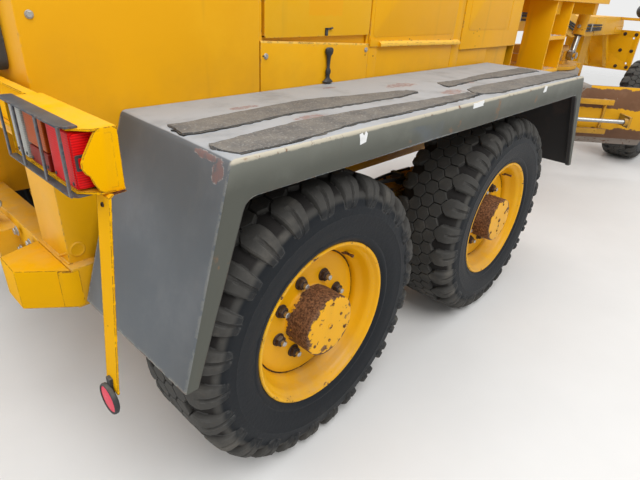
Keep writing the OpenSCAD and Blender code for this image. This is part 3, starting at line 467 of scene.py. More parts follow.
def finish(name, first, second, scale, rough, metallic, bumpScale, bumpDepth):
    material, shader, place = newMaterial(name, first)
    cloud = effect("patches", place, Scale=scale, Cover=0.5, Soft=0.3)
    colour = blendColour(cloud, first, second)
    dust = effect("settledDust", place, Scale=14.0, Amount=0.0 if metallic > 0.95 else 0.35)
    feed(shader, {"Base Color": blendColour(dust, colour, (0.3, 0.28, 0.24)),
                  "Roughness": calc("ADD", rough, times(cloud, 0.12), clamp=True), "Metallic": metallic,
                  "Normal": bumpNormal(effect("grain", place, Scale=bumpScale), 0.5, bumpDepth)})
    return material


for finishName, values in finishes.items():
    materials[finishName] = finish(finishName, *values)

# Lenses: colour, and the deeper colour between the prisms
lenses = {"lensRed": ((0.86, 0.01, 0.01), (0.5, 0.002, 0.004)),
          "lensDarkRed": ((0.3, 0.03, 0.012), (0.2, 0.012, 0.006)),
          "lensAmber": ((0.62, 0.13, 0.002), (0.3, 0.045, 0.0)), "lensClear": ((0.6, 0.6, 0.55), (0.34, 0.34, 0.31)),
          "reflectorPink": ((0.9, 0.085, 0.145), (0.7, 0.04, 0.08)),
          "headGlass": ((0.8, 0.83, 0.84), (0.6, 0.63, 0.65))}


def lens(name, colour, deep):
    material, shader, place = newMaterial(name, colour)
    cells = times(*(addNode(place, "ShaderNodeTexWave", {"Vector": place, "Scale": scale, "Distortion": 0.0},
                            bands_direction=axis).outputs["Fac"] for axis, scale in (("Y", 55.0), ("Z", 70.0))))
    shade = blendColour(times(cells, 0.8), deep, colour)
    dusty = effect("patches", place, Scale=24.0, Cover=0.15, Soft=0.3)
    feed(shader, {"Base Color": blendColour(times(dusty, 0.1), shade, (0.35, 0.3, 0.26)),
                  "Roughness": plus(0.42, times(dusty, 0.3)), "Specular IOR Level": 0.1, "Coat Weight": 0.04,
                  "Coat Roughness": 0.15, "Normal": bumpNormal(cells, 0.25, 0.001)})
    return material


for lensName, values in lenses.items():
    materials[lensName] = lens(lensName, *values)


def windowGlass():
    material, shader, place = newMaterial("windowGlass", (0.75, 0.85, 0.85))
    film = effect("grime", place, Scale=5.0, Low=1.6, High=3.4)
    feed(shader, {"Base Color": blendColour(film, (0.78, 0.86, 0.86), (0.5, 0.48, 0.44)),
                  "Roughness": plus(0.03, times(film, 0.25)), "Transmission Weight": 0.0, "IOR": 1.45,
                  "Alpha": plus(0.24, times(film, 0.16))})
    material.surface_render_method = "BLENDED"
    return material


def seatVinyl():
    material, shader, place = newMaterial("seatVinyl", (0.03, 0.03, 0.03))
    worn = effect("patches", place, Scale=7.0, Cover=0.4, Soft=0.4)
    colour = blendColour(worn, (0.022, 0.022, 0.023), (0.06, 0.058, 0.055))
    rubbed = effect("edgeWear", place, Width=0.012, Breakup=30.0, Amount=0.5)
    colour = blendColour(times(rubbed, 0.5), colour, (0.12, 0.115, 0.11))
    feed(shader, {"Base Color": colour, "Roughness": plus(0.45, times(worn, 0.15)), "Sheen Weight": 0.15})
    leather = addNode(place, "ShaderNodeTexVoronoi", {"Vector": place, "Scale": 260.0}).outputs["Distance"]
    feed(shader, {"Normal": bumpNormal(leather, 0.35, 0.001)})
    return material


for build in (windowGlass, seatVinyl):
    materials[build.__name__] = build()
print("stage: materials", len(materials))


# Meshes
slotOf = {"doorPaint": "yellow_paint", "wheelPaint": "rim_paint", "darkPaint": "dark_paint", "guardPaint": "dark_paint",
          "exhaustHeat": "dark_paint", "engineIron": "engine_iron", "bladeSteel": "worn_steel",
          "wornSteel": "worn_steel",
          "chromeRod": "rod_chrome", "blackRubber": "dark_plastic", "darkPlastic": "dark_plastic",
          "innerDark": "dark_paint",
          "zincBolt": "worn_steel", "nutRust": "worn_steel", "studSteel": "worn_steel", "fenderPaint": "grey_paint",
          "stickerWhite": "grey_paint", "gripTape": "dark_paint", "tyreRubber": "tyre_rubber",
          "seatVinyl": "seat_vinyl",
          "floorMat": "dark_plastic"}


def newObject(name, bm):
    mesh = bpy.data.meshes.new(name)
    bm.to_mesh(mesh)
    bm.free()
    return linkMesh(name, mesh)


def linkMesh(name, mesh):
    piece = bpy.data.objects.new(name, mesh)
    scene.collection.objects.link(piece)
    return piece


def applied(piece):
    # the same piece as a plain mesh, with its modifiers run
    mesh = bpy.data.meshes.new_from_object(piece.evaluated_get(bpy.context.evaluated_depsgraph_get()))
    name = piece.name
    bpy.data.objects.remove(piece)
    return linkMesh(name, mesh)


def settle(piece, finishNames, body, replaced=(), angle=35.0, slot=None):
    # a piece's finishes, its body and what it stands for
    for finishName in finishNames.split():
        piece.data.materials.append(materials[finishName])
    piece.data.shade_smooth()
    piece.data.set_sharp_from_angle(angle=math.radians(angle))
    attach(piece, body)
    if replaced:
        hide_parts(*replaced)
    return piece


def make(name, bm, *given, **named):
    return settle(newObject(name, bm), *given, **named)


def faceOut(bm, faces=None):
    bmesh.ops.recalc_face_normals(bm, faces=faces or bm.faces[:])


def bevelled(bm, made, edges, width, steps, index):
    # one finish on all faces, and bevelled edges
    for face in made:
        face.material_index = index
    if width:
        cut = bmesh.ops.bevel(bm, geom=edges, offset=width, segments=steps, profile=0.6, affect="EDGES",
                              clamp_overlap=True)
        for face in cut["faces"]:
            face.material_index = index


def block(bm, low, high, bevel=0.0, steps=2, index=0, turn=Matrix.Identity(4)):
    # a block between two opposite corners
    low, high = Vector(map(min, low, high)), Vector(map(max, low, high))
    spread = Matrix.Translation((low + high) / 2) @ Matrix.Diagonal((*(high - low), 1.0))
    corners = bmesh.ops.create_cube(bm, size=1.0, matrix=turn @ spread)["verts"]
    edges = list({e for v in corners for e in v.link_edges})
    bevelled(bm, {f for v in corners for f in v.link_faces}, edges, bevel, steps, index)


def box(bm, low, high, *given):
    block(bm, at(*low), at(*high), *given)


def alongX(x, y, z, way=1):
    return Matrix.Translation(at(x, y, z)) @ Matrix.Rotation(way * math.pi / 2, 4, "Y")


def alongY(x, y, z, way=1):
    return Matrix.Translation(at(x, y, z)) @ Matrix.Rotation(-way * math.pi / 2, 4, "X")


def alongZ(x, y, z):
    return Matrix.Translation(at(x, y, z))


def lathe(bm, profile, turn, steps=48, index=0, marks=None, layer=None, closed=False):
    # profile is a list of (radius, height along the axis), with flat ends if it keeps off the axis;
    # turn carries the axis Z to its place
    if profile[0][0] and profile[-1][0] and not closed:
        profile = [(0, profile[0][1]), *profile, (0, profile[-1][1])]
    rings = []
    for k, (radius, height) in enumerate(profile):
        spots = [(radius * math.cos(tau * i / steps), radius * math.sin(tau * i / steps), height) for i in range(steps)]
        ring = [bm.verts.new(turn @ Vector(spot)) for spot in (spots if radius else [(0, 0, height)])]
        if layer is not None:
            for v in ring:
                v[layer] = marks[k]
        rings.append(ring)
    for a, b in list(zip(rings, rings[1:])) + ([(rings[-1], rings[0])] if closed else []):
        for i in range(steps):
            j = (i + 1) % steps
            corners = list(dict.fromkeys((a[i % len(a)], a[j % len(a)], b[j % len(b)], b[i % len(b)])))
            if len(corners) > 2:
                bm.faces.new(corners).material_index = index
    return rings


def tube(bm, points, radius, sides=10, index=0):
    points = [Vector(p) for p in points]
    rings, side = [], None
    for i, point in enumerate(points):
        ahead = (points[min(i + 1, len(points) - 1)] - points[max(i - 1, 0)]).normalized()
        side = side or ahead.orthogonal().normalized()
        side = (side - ahead * side.dot(ahead)).normalized()
        other = ahead.cross(side)
        rings.append([bm.verts.new(point + radius * (math.cos(tau * k / sides) * side + math.sin(tau * k / sides)
            * other))
                      for k in range(sides)])
    for a, b in zip(rings, rings[1:]):
        for k in range(sides):
            bm.faces.new([a[k], a[(k + 1) % sides], b[(k + 1) % sides], b[k]]).material_index = index
    for ring in (rings[0][::-1], rings[-1]):
        bm.faces.new(ring).material_index = index


def fromBehind(u, v, w):
    return at(w, u, v)


def fromRight(u, v, w):
    return at(u, w, v)


def prism(bm, outline, low, high, toPlace, index=0, bevel=0.0):
    # outline is in a plane, and toPlace(u, v, w) gives the real point at depth w
    a, b = ([bm.verts.new(toPlace(u, v, w)) for u, v in outline] for w in (low, high))
    faces = [bm.faces.new(a[::-1]), bm.faces.new(b)]
    faces += [bm.faces.new(corners) for corners in zip(a, a[1:] + a[:1], b[1:] + b[:1], b)]
    faceOut(bm, faces)
    bevelled(bm, faces, list({e for f in faces[:2] for e in f.edges}), bevel, 2, index)


def hexBolt(bm, turn, width, height, washer, index=0):
    lathe(bm, [(washer, 0), (washer, 0.002), (washer - 0.001, 0.003)], turn, 16, index)
    outer = width / math.sqrt(3)
    lathe(bm, [(outer, 0.003), (outer, height * 0.86), (outer * 0.86, height)], turn, 6, index)


# Geometry Nodes: a shape repeated round an axis, in a row, or at given places
def repeatTree(name, inputs, build):
    tree = bpy.data.node_groups.new(name, "GeometryNodeTree")
    for label, kind in {"Geometry": "Geometry", **inputs, "Finish": "Material"}.items():
        tree.interface.new_socket(name=label, in_out="INPUT", socket_type="NodeSocket" + kind)
    tree.interface.new_socket(name="Geometry", in_out="OUTPUT", socket_type="NodeSocketGeometry")
    given = tree.nodes.new("NodeGroupInput").outputs
    placed = addNode(tree, "GeometryNodeInstanceOnPoints", build(given)).outputs[0]
    real = addNode(tree, "GeometryNodeRealizeInstances", {"Geometry": placed}).outputs[0]
    done = addNode(tree, "GeometryNodeSetMaterial", {"Geometry": real, "Material": given["Finish"]}).outputs[0]
    feed(tree.nodes.new("NodeGroupOutput"), {"Geometry": done})
    return tree


def line(count, step):
    return addNode(count, "GeometryNodeMeshLine", {"Count": count, "Offset": step}).outputs[0]


def ring(given):
    share = calc("DIVIDE", addNode(given[0], "GeometryNodeInputIndex").outputs[0], given["Count"])
    turned = addNode(share, "ShaderNodeVectorMath", {0: (0, 0, tau), "Scale": share}, operation="SCALE").outputs[0]
    return {"Points": line(given["Count"], (0, 0, 0)), "Instance": given["Geometry"], "Rotation": turned}


def row(given):
    return {"Points": line(given["Count"], given["Step"]), "Instance": given["Geometry"]}


def spots(given):
    shape = addNode(given[0], "GeometryNodeObjectInfo", {"Object": given["Shape"]}).outputs["Geometry"]
    turn = addNode(given[0], "GeometryNodeInputNamedAttribute", {"Name": "turn"}, data_type="FLOAT_VECTOR").outputs[0]
    return {"Points": given["Geometry"], "Instance": shape, "Rotation": turn}


trees = {"ring": repeatTree("ringOfShapes", {"Count": "Int"}, ring),
         "row": repeatTree("rowOfShapes", {"Count": "Int", "Step": "Vector"}, row),
         "spots": repeatTree("shapesAtPlaces", {"Shape": "Object"}, spots)}


def grow(piece, treeName, finishName, **values):
    # runs a tree on a piece, and puts the plain mesh that it makes in the piece's place
    tree = trees[treeName]
    modifier = piece.modifiers.new(treeName, "NODES")
    modifier.node_group = tree
    sockets = {s.name: s.identifier for s in tree.interface.items_tree if s.in_out == "INPUT"}
    for key, value in {**values, "Finish": materials[finishName]}.items():
        modifier[sockets[key]] = value
    return applied(piece)


def repeated(piece, treeName, finishName, body, turn=None, slot=None, **values):
    piece = grow(piece, treeName, finishName, **values)
    piece.data.transform(turn or Matrix.Identity(4))
    return settle(piece, "", body, slot=slot or slotOf.get(finishName, "yellow_paint"))


facing = {"+X": (0, math.pi / 2, 0), "-X": (0, -math.pi / 2, 0), "+Y": (-math.pi / 2, 0, 0), "-Y": (math.pi / 2, 0, 0),
          "+Z": (0, 0, 0), "-Z": (math.pi, 0, 0)}


def scatter(name, places, turn, body, bm, finishName, slot=None):
    # one shape, put at each place with the same turn
    unit = newObject(name + "Unit", bm)
    mesh = bpy.data.meshes.new(name)
    mesh.from_pydata([tuple(p) for p in places], [], [])
    for item in mesh.attributes.new("turn", "FLOAT_VECTOR", "POINT").data:
        item.vector = facing.get(turn, turn)
    repeated(linkMesh(name, mesh), "spots", finishName, body, slot=slot, Shape=unit)
    bpy.data.objects.remove(unit)


def bolts(name, places, turn, body, sizes, finishName="zincBolt", slot=None):
    bm = bmesh.new()
    hexBolt(bm, Matrix.Identity(4), *sizes)
    scatter(name, places, turn, body, bm, finishName, slot)


# Wheels
tyreShape = {"radius": 0.485, "lugs": 26, "hexes": 52, "hexColumns": (-0.0508, 0.0, 0.0508),
             # one hexagon: size, radius and depth of its foot, its edge and its top
             "hex": ((0.0325, 0.468, 1.0), (0.0318, 0.4815, 0.15), (0.0296, 0.485, 0.0)),
             # the carcass: radius, half width
             "carcass": [(0.262, 0.128), (0.268, 0.134), (0.28, 0.138), (0.288, 0.146), (0.297, 0.1515), (0.303, 0.152),
                         (0.307, 0.1505), (0.313, 0.152), (0.33, 0.157), (0.352, 0.1605), (0.372, 0.1615),
                         (0.376, 0.1625),
                         (0.38, 0.1615), (0.398, 0.16), (0.416, 0.1565), (0.433, 0.15), (0.448, 0.139), (0.46, 0.122),
                         (0.468, 0.1), (0.472, 0.07), (0.473, 0.035), (0.473, 0.0)],
             # a shoulder lug: along the tyre, top radius, half width at top, floor radius and floor position
             "lug": [(0.0715, 0.4845, 0.01, 0.464, 0.0725), (0.084, 0.485, 0.024, 0.464, 0.084),
                     (0.1, 0.485, 0.0365, 0.462, 0.1), (0.122, 0.4825, 0.0375, 0.456, 0.118),
                     (0.139, 0.4755, 0.037, 0.448, 0.129), (0.152, 0.4625, 0.035, 0.435, 0.14),
                     (0.1605, 0.444, 0.0325, 0.42, 0.148), (0.164, 0.423, 0.03, 0.408, 0.153),
                     (0.1632, 0.406, 0.026, 0.398, 0.1575)],
             # the lug's section: place from its middle line as a share of the half width and a distance, and depth
             "section": ((-1, -0.004, 1), (-1, 0, 0.16), (-1, 0.005, 0), (0, -0.008, 0), (0, -0.004, None),
                         (0, 0.004, None),
                         (0, 0.008, 0), (1, -0.005, 0), (1, 0, 0.16), (1, 0.004, 1))}


def onTread(u, radius, along):
    angle = u / tyreShape["radius"]
    return Vector((radius * math.cos(angle), radius * math.sin(angle), along))


def hexagon(bm, middle, along, tread, depth):
    rings = []
    for size, radius, sunk in tyreShape["hex"]:
        corners = [(middle + size * math.sin(tau * k / 6), along + size * math.cos(tau * k / 6)) for k in range(6)]
        rings.append([bm.verts.new(onTread(u, radius - abs(z) * 0.012, z)) for u, z in corners])
        for v in rings[-1]:
            v[tread], v[depth] = 1.0, sunk
    for a, b in zip(rings, rings[1:]):
        for k in range(6):
            bm.faces.new([a[k], b[k], b[(k + 1) % 6], a[(k + 1) % 6]])
    bm.faces.new(rings[-1][::-1])


def shoulderLug(bm, side, tread, depth):
    shift = 0.0 if side > 0 else tau / tyreShape["lugs"] / 2 * tyreShape["radius"]
    rows = []
    for k, (along, top, half, floorRadius, floorAlong) in enumerate(tyreShape["lug"]):
        notch = 0.011 * min(1.0, max(0.0, (k - 3) / 2.5))
        row = []
        for halves, extra, sunk in tyreShape["section"]:
            groove = notch if sunk is None else 0.0
            share = sunk or 0.0
            u = (half * halves + extra) * (1.0 if k else 0.62)
            radius = top + (floorRadius - top) * share - groove * 0.9
            v = bm.verts.new(onTread(shift + u, radius, side * (along + (floorAlong - along) * share - 0.35 * groove)))
            v[tread] = 1.0 if k < 7 else 0.55
            v[depth] = 1.0 if share == 1 else 0.6 if groove else 0.0
            row.append(v)
        rows.append(row)
    for a, b in zip(rows, rows[1:]):
        for k in range(len(a) - 1):
            bm.faces.new([a[k], a[k + 1], b[k + 1], b[k]][::side])
    bm.faces.new(rows[0][::-side])
    bm.faces.new(rows[-1][::side])


def tyre(name, body, turn):
    bm = bmesh.new()
    layers = [bm.verts.layers.float.new(label) for label in ("tread", "depth")]
    perLug = tyreShape["hexes"] // tyreShape["lugs"]
    for step in range(perLug):
        for column, along in enumerate(tyreShape["hexColumns"]):
            turned = (step + 0.5 * (1 - column % 2)) * tau / tyreShape["hexes"]
            hexagon(bm, turned * tyreShape["radius"], along, *layers)
    for side in (1, -1):
        shoulderLug(bm, side, *layers)
    blocks = grow(newObject(name + "Blocks", bm), "ring", "tyreRubber", Count=tyreShape["lugs"])
    bm = bmesh.new()
    bm.from_mesh(blocks.data)
    bpy.data.objects.remove(blocks)
    faceOut(bm)
    tread, depth = (bm.verts.layers.float[label] for label in ("tread", "depth"))
    outer = tyreShape["carcass"]
    profile = outer + [(r, -w) for r, w in reversed(outer[:-1])]
    before = set(bm.faces)
    rings = lathe(bm, profile, Matrix.Identity(4), 104, closed=True)
    for (radius, _), ring in zip(profile, rings):
        for v in ring:
            # depth 1 gives the carcass between the blocks the darker groove rubber, painted shade
            v[tread], v[depth] = min(1.0, max(0.0, (radius - 0.405) / 0.03)), 1.0 if radius > 0.44 else 0.0
    faceOut(bm, [f for f in bm.faces if f not in before])
    piece = newObject(name + "Tread", bm)
    piece.data.transform(turn)
    settle(piece, "tyreRubber", body, [name], 28.0)


rimShape = {"rustOfPlugs": 0.62, "rustOfValve": 0.9, "nutsFrom": 0.3,
            # radius, distance outboard, share of rust
            "profile": [
                (0, 0.158, 0.42), (0.03, 0.1583, 0.4), (0.06, 0.158, 0.44), (0.092, 0.158, 0.47), (0.1, 0.1575, 0.58),
                (0.104, 0.155, 0.7), (0.105, 0.151, 0.8), (0.105, 0.125, 0.86), (0.105, 0.095, 0.8),
                (0.105, 0.067, 0.62),
                (0.108, 0.061, 0.42), (0.114, 0.0575, 0.34), (0.16, 0.056, 0.3), (0.2, 0.057, 0.3),
                (0.217, 0.057, 0.32),
                # the groove round the disc gets a high share of rust: rust in the seam, and painted shade of the groove
                (0.2195, 0.0555, 0.5), (0.2205, 0.049, 0.85), (0.2245, 0.049, 0.85), (0.2255, 0.056, 0.4),
                (0.2265, 0.066, 0.3),
                (0.23, 0.073, 0.3), (0.239, 0.084, 0.3), (0.2455, 0.096, 0.3), (0.249, 0.112, 0.31),
                (0.2535, 0.1215, 0.33),
                (0.26, 0.1275, 0.34), (0.2655, 0.134, 0.36), (0.2685, 0.1405, 0.38), (0.2725, 0.1445, 0.42),
                (0.277, 0.145, 0.43), (0.2805, 0.1425, 0.42), (0.2815, 0.138, 0.4), (0.279, 0.134, 0.4),
                (0.271, 0.132, 0.4),
                (0.2625, 0.127, 0.4), (0.2625, -0.127, 0.4), (0.271, -0.132, 0.4), (0.279, -0.134, 0.4),
                (0.2815, -0.138, 0.4),
                (0.2805, -0.1425, 0.42), (0.277, -0.145, 0.43), (0.2725, -0.1445, 0.42), (0.2685, -0.1405, 0.38),
                (0.26, -0.1275, 0.36), (0.249, -0.112, 0.34), (0.239, -0.084, 0.34), (0.227, -0.066, 0.34),
                (0.226, 0.03, 0.36),
                (0.22, 0.038, 0.4), (0.114, 0.04, 0.42), (0.106, 0.034, 0.5), (0.105, -0.1, 0.55), (0.098, -0.118, 0.6),
                (0.045, -0.12, 0.65), (0.04, -0.126, 0.7), (0.04, -0.243, 0.7), (0.037, -0.245, 0.7), (0, -0.245, 0.7)],
            # plugs on the hub's face: radius, angle and size
            "plugs": ((0.0, 0, 0.01), (0.055, 0.5, 0.0055), (0.055, 2.6, 0.0055), (0.055, 4.7, 0.0055),
                      (0.082, 1.5, 0.0055),
                      (0.082, 3.7, 0.0055), (0.082, 5.8, 0.0055)),
            "valve": [(0.0075, 0.066), (0.007, 0.078), (0.0045, 0.082), (0.0045, 0.104), (0.0055, 0.105),
                      (0.0055, 0.112),
                      (0, 0.114)]}
nutShape = {"count": 8, "circle": 0.1375, "across": 0.0185, "height": 0.02, "stud": 0.0095, "proud": 0.034,
            "seat": 0.0565}


def wheelTurn(x, track, side):
    axes = Matrix(((1, 0, 0), (0, 0, side), (0, -side, 0))).to_4x4()
    return alongZ(x, side * track, layout["axleZ"]) @ axes


def rim(name, body, turn):
    bm = bmesh.new()
    layer = bm.verts.layers.float.new("rust")
    profile = rimShape["profile"]
    lathe(bm, [(r, h) for r, h, _ in profile], Matrix.Identity(4), 96, marks=[m for _, _, m in profile], layer=layer)

    def rusty(profile, turn, steps, rust):
        for ring in lathe(bm, profile, turn, steps):
            for v in ring:
                v[layer] = rust

    for radius, angle, size in rimShape["plugs"]:
        spot = Matrix.Translation((radius * math.cos(angle), radius * math.sin(angle), 0.1575))
        plug = [(size, 0), (size, 0.0025), (size * 0.7, 0.003), (size * 0.6, 0.0012), (0, 0.001)]
        rusty(plug, spot, 12, rimShape["rustOfPlugs"])
    spot = Matrix.Rotation(0.9, 4, "Z") @ Matrix.Translation((0.232, 0, 0))
    rusty(rimShape["valve"], spot, 10, rimShape["rustOfValve"])
    faceOut(bm)
    piece = newObject(name + "Wheel", bm)
    piece.data.transform(turn)
    settle(piece, "wheelPaint", body, [name], 40.0)
    outer, height, stud, proud = (nutShape[key] for key in ("across", "height", "stud", "proud"))
    spot = Matrix.Translation((nutShape["circle"], 0, nutShape["seat"]))
    nut = [([(outer * 1.22, -0.001), (outer * 1.2, 0.004), (outer, 0.006)], 20),
           ([(outer, 0.004), (outer * 1.02, height * 0.8), (outer * 0.84, height)], 6)]
    post = [([(stud, 0.004), (stud, proud - 0.002), (stud * 0.72, proud)], 12)]
    for label, finishName, parts in (("Nuts", "nutRust", nut), ("Studs", "studSteel", post)):
        bm = bmesh.new()
        for profile, steps in parts:
            lathe(bm, profile, spot, steps)
        faceOut(bm)
        repeated(newObject(name + label, bm), "ring", finishName, body,
                 turn @ Matrix.Rotation(rimShape["nutsFrom"], 4, "Z"), Count=nutShape["count"])


for sideName, side in sides.items():
    for place, x, track in (("rear", -layout["tandemX"], layout["rearTrack"]),
                            ("mid", layout["tandemX"], layout["rearTrack"]),
                          ("front", layout["frontX"], layout["frontTrack"])):
        turn = wheelTurn(x, track, side)
        body = f"wheel_{place}_{sideName}"
        tyre(f"tyre_{place}_{sideName}", body, turn @ Matrix.Rotation(math.radians(-6.3 * side * (x > 0)), 4, "Z"))
        rim(f"rim_{place}_{sideName}", body, turn)
print("stage: wheels")


# More mesh helpers: bent plates, flat plates, walls with windows, rough-edged sheets
def corner(start, middle, end, shares):
    # points along a curve from start to end that bends towards middle
    return [start * (1 - t) ** 2 + middle * 2 * t * (1 - t) + end * t * t for t in shares]


def roundedPath(points, radius, steps=5):
    # a bent line with its inner corners rounded
    points = [Vector(p) for p in points]
    path = points[:1]
    for a, b, c in zip(points, points[1:], points[2:]):
        start, end = b + (a - b).normalized() * radius, b + (c - b).normalized() * radius
        path += corner(start, b, end, [n / steps for n in range(steps + 1)])
    return path + points[-1:]


def weave(bm, rows, index=0, around=False, closed=False):
    # faces between rows of vertices
    faces = []
    for a, b in list(zip(rows, rows[1:])) + ([(rows[-1], rows[0])] if closed else []):
        span = range(len(a) if around else len(a) - 1)
        faces += [bm.faces.new([a[k], a[(k + 1) % len(a)], b[(k + 1) % len(b)], b[k]]) for k in span]
    for f in faces:
        f.material_index = index
    return faces


def onSide(s):
    return lambda u, v, w: at(u, s * w, v)


def flank(bm, outline, y0, y1, s=1, index=0, bevel=0.0015):
    # a flat plate seen from the side: outline in X and Z, from y0 to y1 on side s
    prism(bm, outline, y0, y1, onSide(s), index, bevel)


def wall(bm, outline, x0, x1, index=0, bevel=0.0015):
    # a flat plate seen from behind: outline in Y and Z
    prism(bm, outline, x0, x1, fromBehind, index, bevel)


def tray(bm, outline, z0, z1, index=0, bevel=0.0015, s=1):
    # a flat plate seen from above: outline in X and Y, turned over to side s
    prism(bm, [(x, s * y) for x, y in outline], z0, z1, at, index, bevel)


def oblong(x0, x1, z0, z1, radius=0.0, steps=4):
    # a rectangle's outline with round corners
    if not radius:
        return [(x0, z0), (x1, z0), (x1, z1), (x0, z1)]
    corners = [(x1 - radius, z0 + radius, -90), (x1 - radius, z1 - radius, 0), (x0 + radius, z1 - radius, 90),
               (x0 + radius, z0 + radius, 180)]
    angles = [(cx, cz, math.radians(start + 90 * k / steps)) for cx, cz, start in corners for k in range(steps + 1)]
    return [(cx + radius * math.cos(angle), cz + radius * math.sin(angle)) for cx, cz, angle in angles]


def bentPlate(bm, path, x0, x1, thick, edge=0.002):
    # a plate bent along a path of (y, z) points, between two places along X; its outside is on the path's left
    section = [(x0, -thick), (x0, -edge), (x0 + 0.3 * edge, -0.3 * edge), (x0 + edge, 0.0), (x1 - edge, 0.0),
               (x1 - 0.3 * edge, -0.3 * edge), (x1, -edge), (x1, -thick)]
    rows = []
    for k, point in enumerate(path):
        ahead = (path[min(k + 1, len(path) - 1)] - path[max(k - 1, 0)]).normalized()
        rows.append([bm.verts.new(at(x, point.x - ahead.y * n, point.y + ahead.x * n)) for x, n in section])
    faceOut(bm, weave(bm, rows, 0, around=True) + [bm.faces.new(rows[0]), bm.faces.new(rows[-1][::-1])])


def reach(outline, centre, angle):
    # how far an outline lies from a centre in one direction
    dx, dy = math.cos(angle), math.sin(angle)
    best = 0.0
    for (ax, ay), (bx, by) in zip(outline, outline[1:] + outline[:1]):
        ex, ey = bx - ax, by - ay
        cross = dx * ey - dy * ex
        if abs(cross) > 1e-9:
            t = ((ax - centre[0]) * ey - (ay - centre[1]) * ex) / cross
            u = ((ax - centre[0]) * dy - (ay - centre[1]) * dx) / cross
            if t > 0 and -1e-6 <= u <= 1 + 1e-6:
                best = max(best, t)
    return best


def windowed(bm, outer, inner, toPlace, low, high):
    # a plate with one hole: both outlines are cut at the same angles round the hole's middle
    centre = [sum(p[axis] for p in inner) / len(inner) for axis in (0, 1)]
    angles = {round(math.atan2(v - centre[1], u - centre[0]) % tau, 4) for u, v in outer + inner}
    angles = sorted(angles | {round(tau * k / 24, 4) for k in range(24)})
    rings = []
    for outline, depth in ((inner, low), (inner, high), (outer, high), (outer, low)):
        fars = [(angle, reach(outline, centre, angle)) for angle in angles]
        rings.append([bm.verts.new(toPlace(centre[0] + far * math.cos(angle), centre[1] + far * math.sin(angle), depth))
                      for angle, far in fars])
    faceOut(bm, weave(bm, rings, around=True, closed=True))


def along(row, share):
    # a point on a line of (x, y) points, at a share of its length
    lengths = [0.0]
    for a, b in zip(row, row[1:]):
        lengths.append(lengths[-1] + math.dist(a, b))
    want = share * lengths[-1]
    for k in range(len(row) - 1):
        if want <= lengths[k + 1] + 1e-9:
            return Vector(row[k]).lerp(Vector(row[k + 1]), (want - lengths[k]) / (lengths[k + 1] - lengths[k]))
    return Vector(row[-1])


def roughSheet(bm, rowA, rowB, low, high, steps, columns, ragged, curl, seed, index=0):
    # a torn strip lying on a plate: rowA and rowB are its long edges as (x, y) points
    rows = []
    for n in range(steps + 1):
        share = n / steps
        a, b = along(rowA, share), along(rowB, share)
        ends = max(0.0, 1 - min(share, 1 - share) * steps / 3)
        row = []
        for k in range(columns + 1):
            spot = a.lerp(b, k / columns)
            shake = noise.noise_vector(Vector((spot.x * 45, spot.y * 45, seed)))
            if k in (0, columns) or n in (0, steps):
                spot += Vector((shake.x, shake.y)) * ragged
            swell = noise.noise(Vector((spot.x * 14, spot.y * 30, seed + 5)))
            lift = curl * ends * (0.3 + abs(shake.z)) + 0.0012 * swell
            wave = max(0.0, noise.noise(Vector((spot.x * 5, seed, 0))) - 0.25)
            lift += curl * 0.6 * wave * (1 if k == columns else 0.2)
            row.append(bm.verts.new(at(spot.x, spot.y, high + max(lift, -0.0006))))
        rows.append(row)
    loop = rows[0] + [r[-1] for r in rows[1:-1]] + rows[-1][::-1] + [r[0] for r in rows[-2:0:-1]]
    faces = weave(bm, rows, index)
    under = [bm.verts.new((v.co.x, v.co.y, low)) for v in loop]
    faces += weave(bm, [loop, under], index, around=True) + [bm.faces.new(under[::-1])]
    faces[-1].material_index = index
    faceOut(bm, faces)


def thicken(piece, thickness):
    # gives an open sheet a wall behind its outer face, as a plain mesh
    modifier = piece.modifiers.new("wall", "SOLIDIFY")
    modifier.thickness, modifier.offset = thickness, -1.0
    return applied(piece)


def dots(name, places, face, body, finishName, width, height=0.0006, slot=None):
    # small round marks or rivet heads, all facing one way
    bm = bmesh.new()
    lathe(bm, [(width / 2, 0), (width / 2 * 0.8, height)], Matrix.Identity(4), 10)
    scatter(name, places, face, body, bm, finishName, slot)


# Fenders: one bent sheet each, with a rounded fold down to the skirt, dents and a turned-in lip
fenderShape = {"path": [(-1.152, 0.59), (-1.0, 1.12), (1.185, 1.12), (1.42, 0.61)],
               "lower": [(-1.114, 0.59), (-0.962, 1.028), (1.147, 1.028), (1.382, 0.61)],
               "inner": 0.562, "outer": 1.0785, "bend": 0.014, "fold": 0.009, "thick": 0.005, "lip": 0.02,
               "runs": (22, 88, 22), "across": 18, "dent": 0.002,
               # how far the rear fold's inner end stands ahead of its outer end, and the run over which this fades
               "skew": 0.028, "skewRun": 0.6}
gripStrips = {"innerRear": [[(-0.962, 0.774), (-0.897, 0.772), (-0.687, 0.751), (-0.472, 0.734), (-0.274, 0.773),
                             (-0.037, 0.812), (0.001, 0.85)],
                            [(-0.975, 0.864), (-0.861, 0.869), (-0.645, 0.851), (-0.385, 0.867), (-0.132, 0.879),
                             (0.001, 0.862)]],
              "innerFront": [[(0.21, 0.85), (0.257, 0.789), (0.426, 0.801), (0.66, 0.776), (0.92, 0.77), (1.1, 0.775)],
                             [(0.21, 0.868), (0.4, 0.852), (0.543, 0.84), (0.66, 0.858), (0.92, 0.866), (1.1, 0.872)]],
              "outerRear": [[(-0.984, 0.985), (-0.974, 0.963), (-0.883, 0.951), (-0.658, 0.924), (-0.46, 0.93),
                             (-0.129, 0.957), (0.167, 0.976)],
                            [(-0.984, 0.992), (-0.962, 1.052), (-0.821, 1.057), (-0.569, 1.03), (-0.225, 1.03),
                             (0.055, 1.028), (0.16, 1.02)]],
              "outerFront": [[(0.168, 1.0), (0.23, 0.94), (0.311, 0.925), (0.6, 0.93), (0.9, 0.935), (1.15, 0.94)],
                             [(0.168, 1.012), (0.3, 1.045), (0.5, 1.045), (0.9, 1.045), (1.0, 1.048), (1.15, 1.05)]]}
